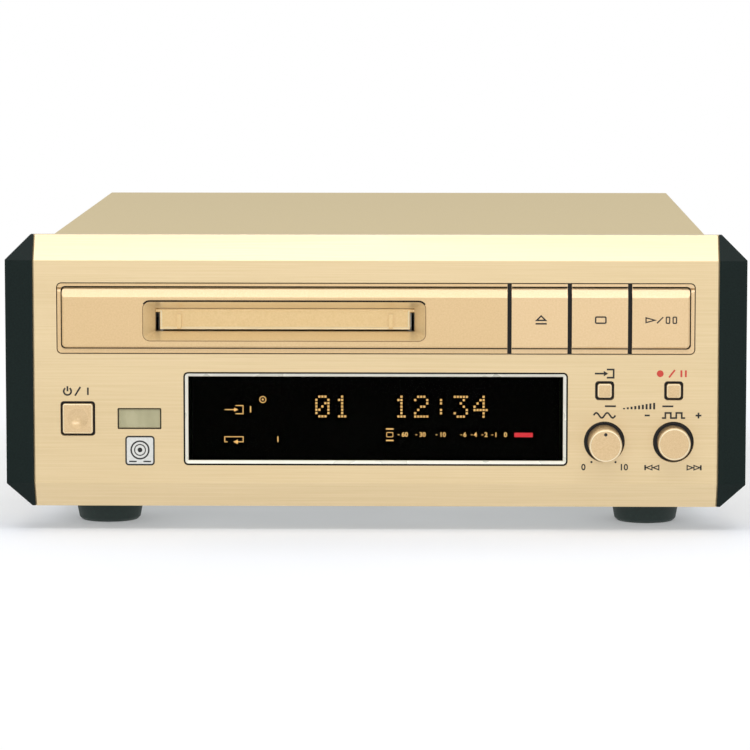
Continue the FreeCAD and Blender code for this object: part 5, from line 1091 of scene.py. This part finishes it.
# %% The paper turns white with distance
NEAR, FAR = 0.16, 0.48
NEAR_WHITE = 0.2
tree = paper.node_tree
where = add(tree, "ShaderNodeTexCoord")
away = add(tree, "ShaderNodeVectorMath", {"operation": "LENGTH"}, {0: where.outputs["Object"]})
by_distance = add(tree, "ShaderNodeMapRange",
                  {"From Min": NEAR, "From Max": FAR, "To Min": NEAR_WHITE},
                  {"Value": away.outputs["Value"]})
rays = add(tree, "ShaderNodeLightPath")
reflected = add(tree, "ShaderNodeMath", {"operation": "MAXIMUM"},
                {0: rays.outputs["Is Glossy Ray"], 1: rays.outputs["Is Transmission Ray"]})
direct = add(tree, "ShaderNodeMath", {"operation": "MULTIPLY"},
             {0: by_distance.outputs["Result"], 1: rays.outputs["Is Camera Ray"]})
amount = add(tree, "ShaderNodeMath", {"operation": "MAXIMUM"},
             {0: direct.outputs["Value"], 1: reflected.outputs["Value"]})
white = add(tree, "ShaderNodeEmission", {"Strength": 1.0, "Color": (1, 1, 1, 1)})
both = add(tree, "ShaderNodeMixShader",
           links={0: amount.outputs["Value"], 1: tree.nodes["Principled BSDF"].outputs["BSDF"],
                  2: white.outputs["Emission"]})
tree.links.new(both.outputs["Shader"], tree.nodes["Material Output"].inputs["Surface"])
print("paper is plain white beyond", FAR, "m")

# %% [markdown]
# ## Light
# The light is plain and soft. The world is brightest overhead, like a white ceiling. A long narrow
# softbox above and in front gives the bright bands on the surfaces that lean back. A small weak
# card in front of the deck gives the highlight in the dished button.

# %% World
HORIZON, CEILING, CEILING_FROM = 0.45, 1.1, 0.8
world = bpy.data.worlds.new("studio")
bpy.context.scene.world = world
world.use_nodes = True
sky = world.node_tree
background = sky.nodes["Background"]
background.inputs["Color"].default_value = (1, 1, 1, 1)
place = add(sky, "ShaderNodeTexCoord")
axes = add(sky, "ShaderNodeSeparateXYZ", links={"Vector": place.outputs["Generated"]})
level = add(sky, "ShaderNodeMapRange",
            {"From Max": CEILING_FROM, "To Min": HORIZON, "To Max": CEILING},
            {"Value": axes.outputs["Z"]})
sky.links.new(level.outputs["Result"], background.inputs["Strength"])
print("world from", HORIZON, "to", CEILING)

# %% Softbox and card
# each lamp: its size in metres, its watts, where it stands and what it is aimed at
LIGHTS = {"softbox": ((1.6, 0.28), 6.5, (0, -0.95, 1.34), (0, -0.13, 0.08)),
          "fill_card": ((0.5, 0.08), 0.75, (0, -1.0, 0.22), (0, -0.13, 0.03))}
for name, (extent, watts, stand, aim) in LIGHTS.items():
    lamp_data = bpy.data.lights.new(name, "AREA")
    lamp_data.shape = "RECTANGLE"
    lamp_data.size, lamp_data.size_y = extent
    lamp_data.energy = watts
    lamp = placed(name, lamp_data)
    lamp.location = stand
    lamp.rotation_euler = (Vector(aim) - lamp.location).to_track_quat("-Z", "Y").to_euler()
    lamp.visible_camera = False
bpy.context.scene.view_settings.view_transform = "Standard"
print("lights:", *LIGHTS)
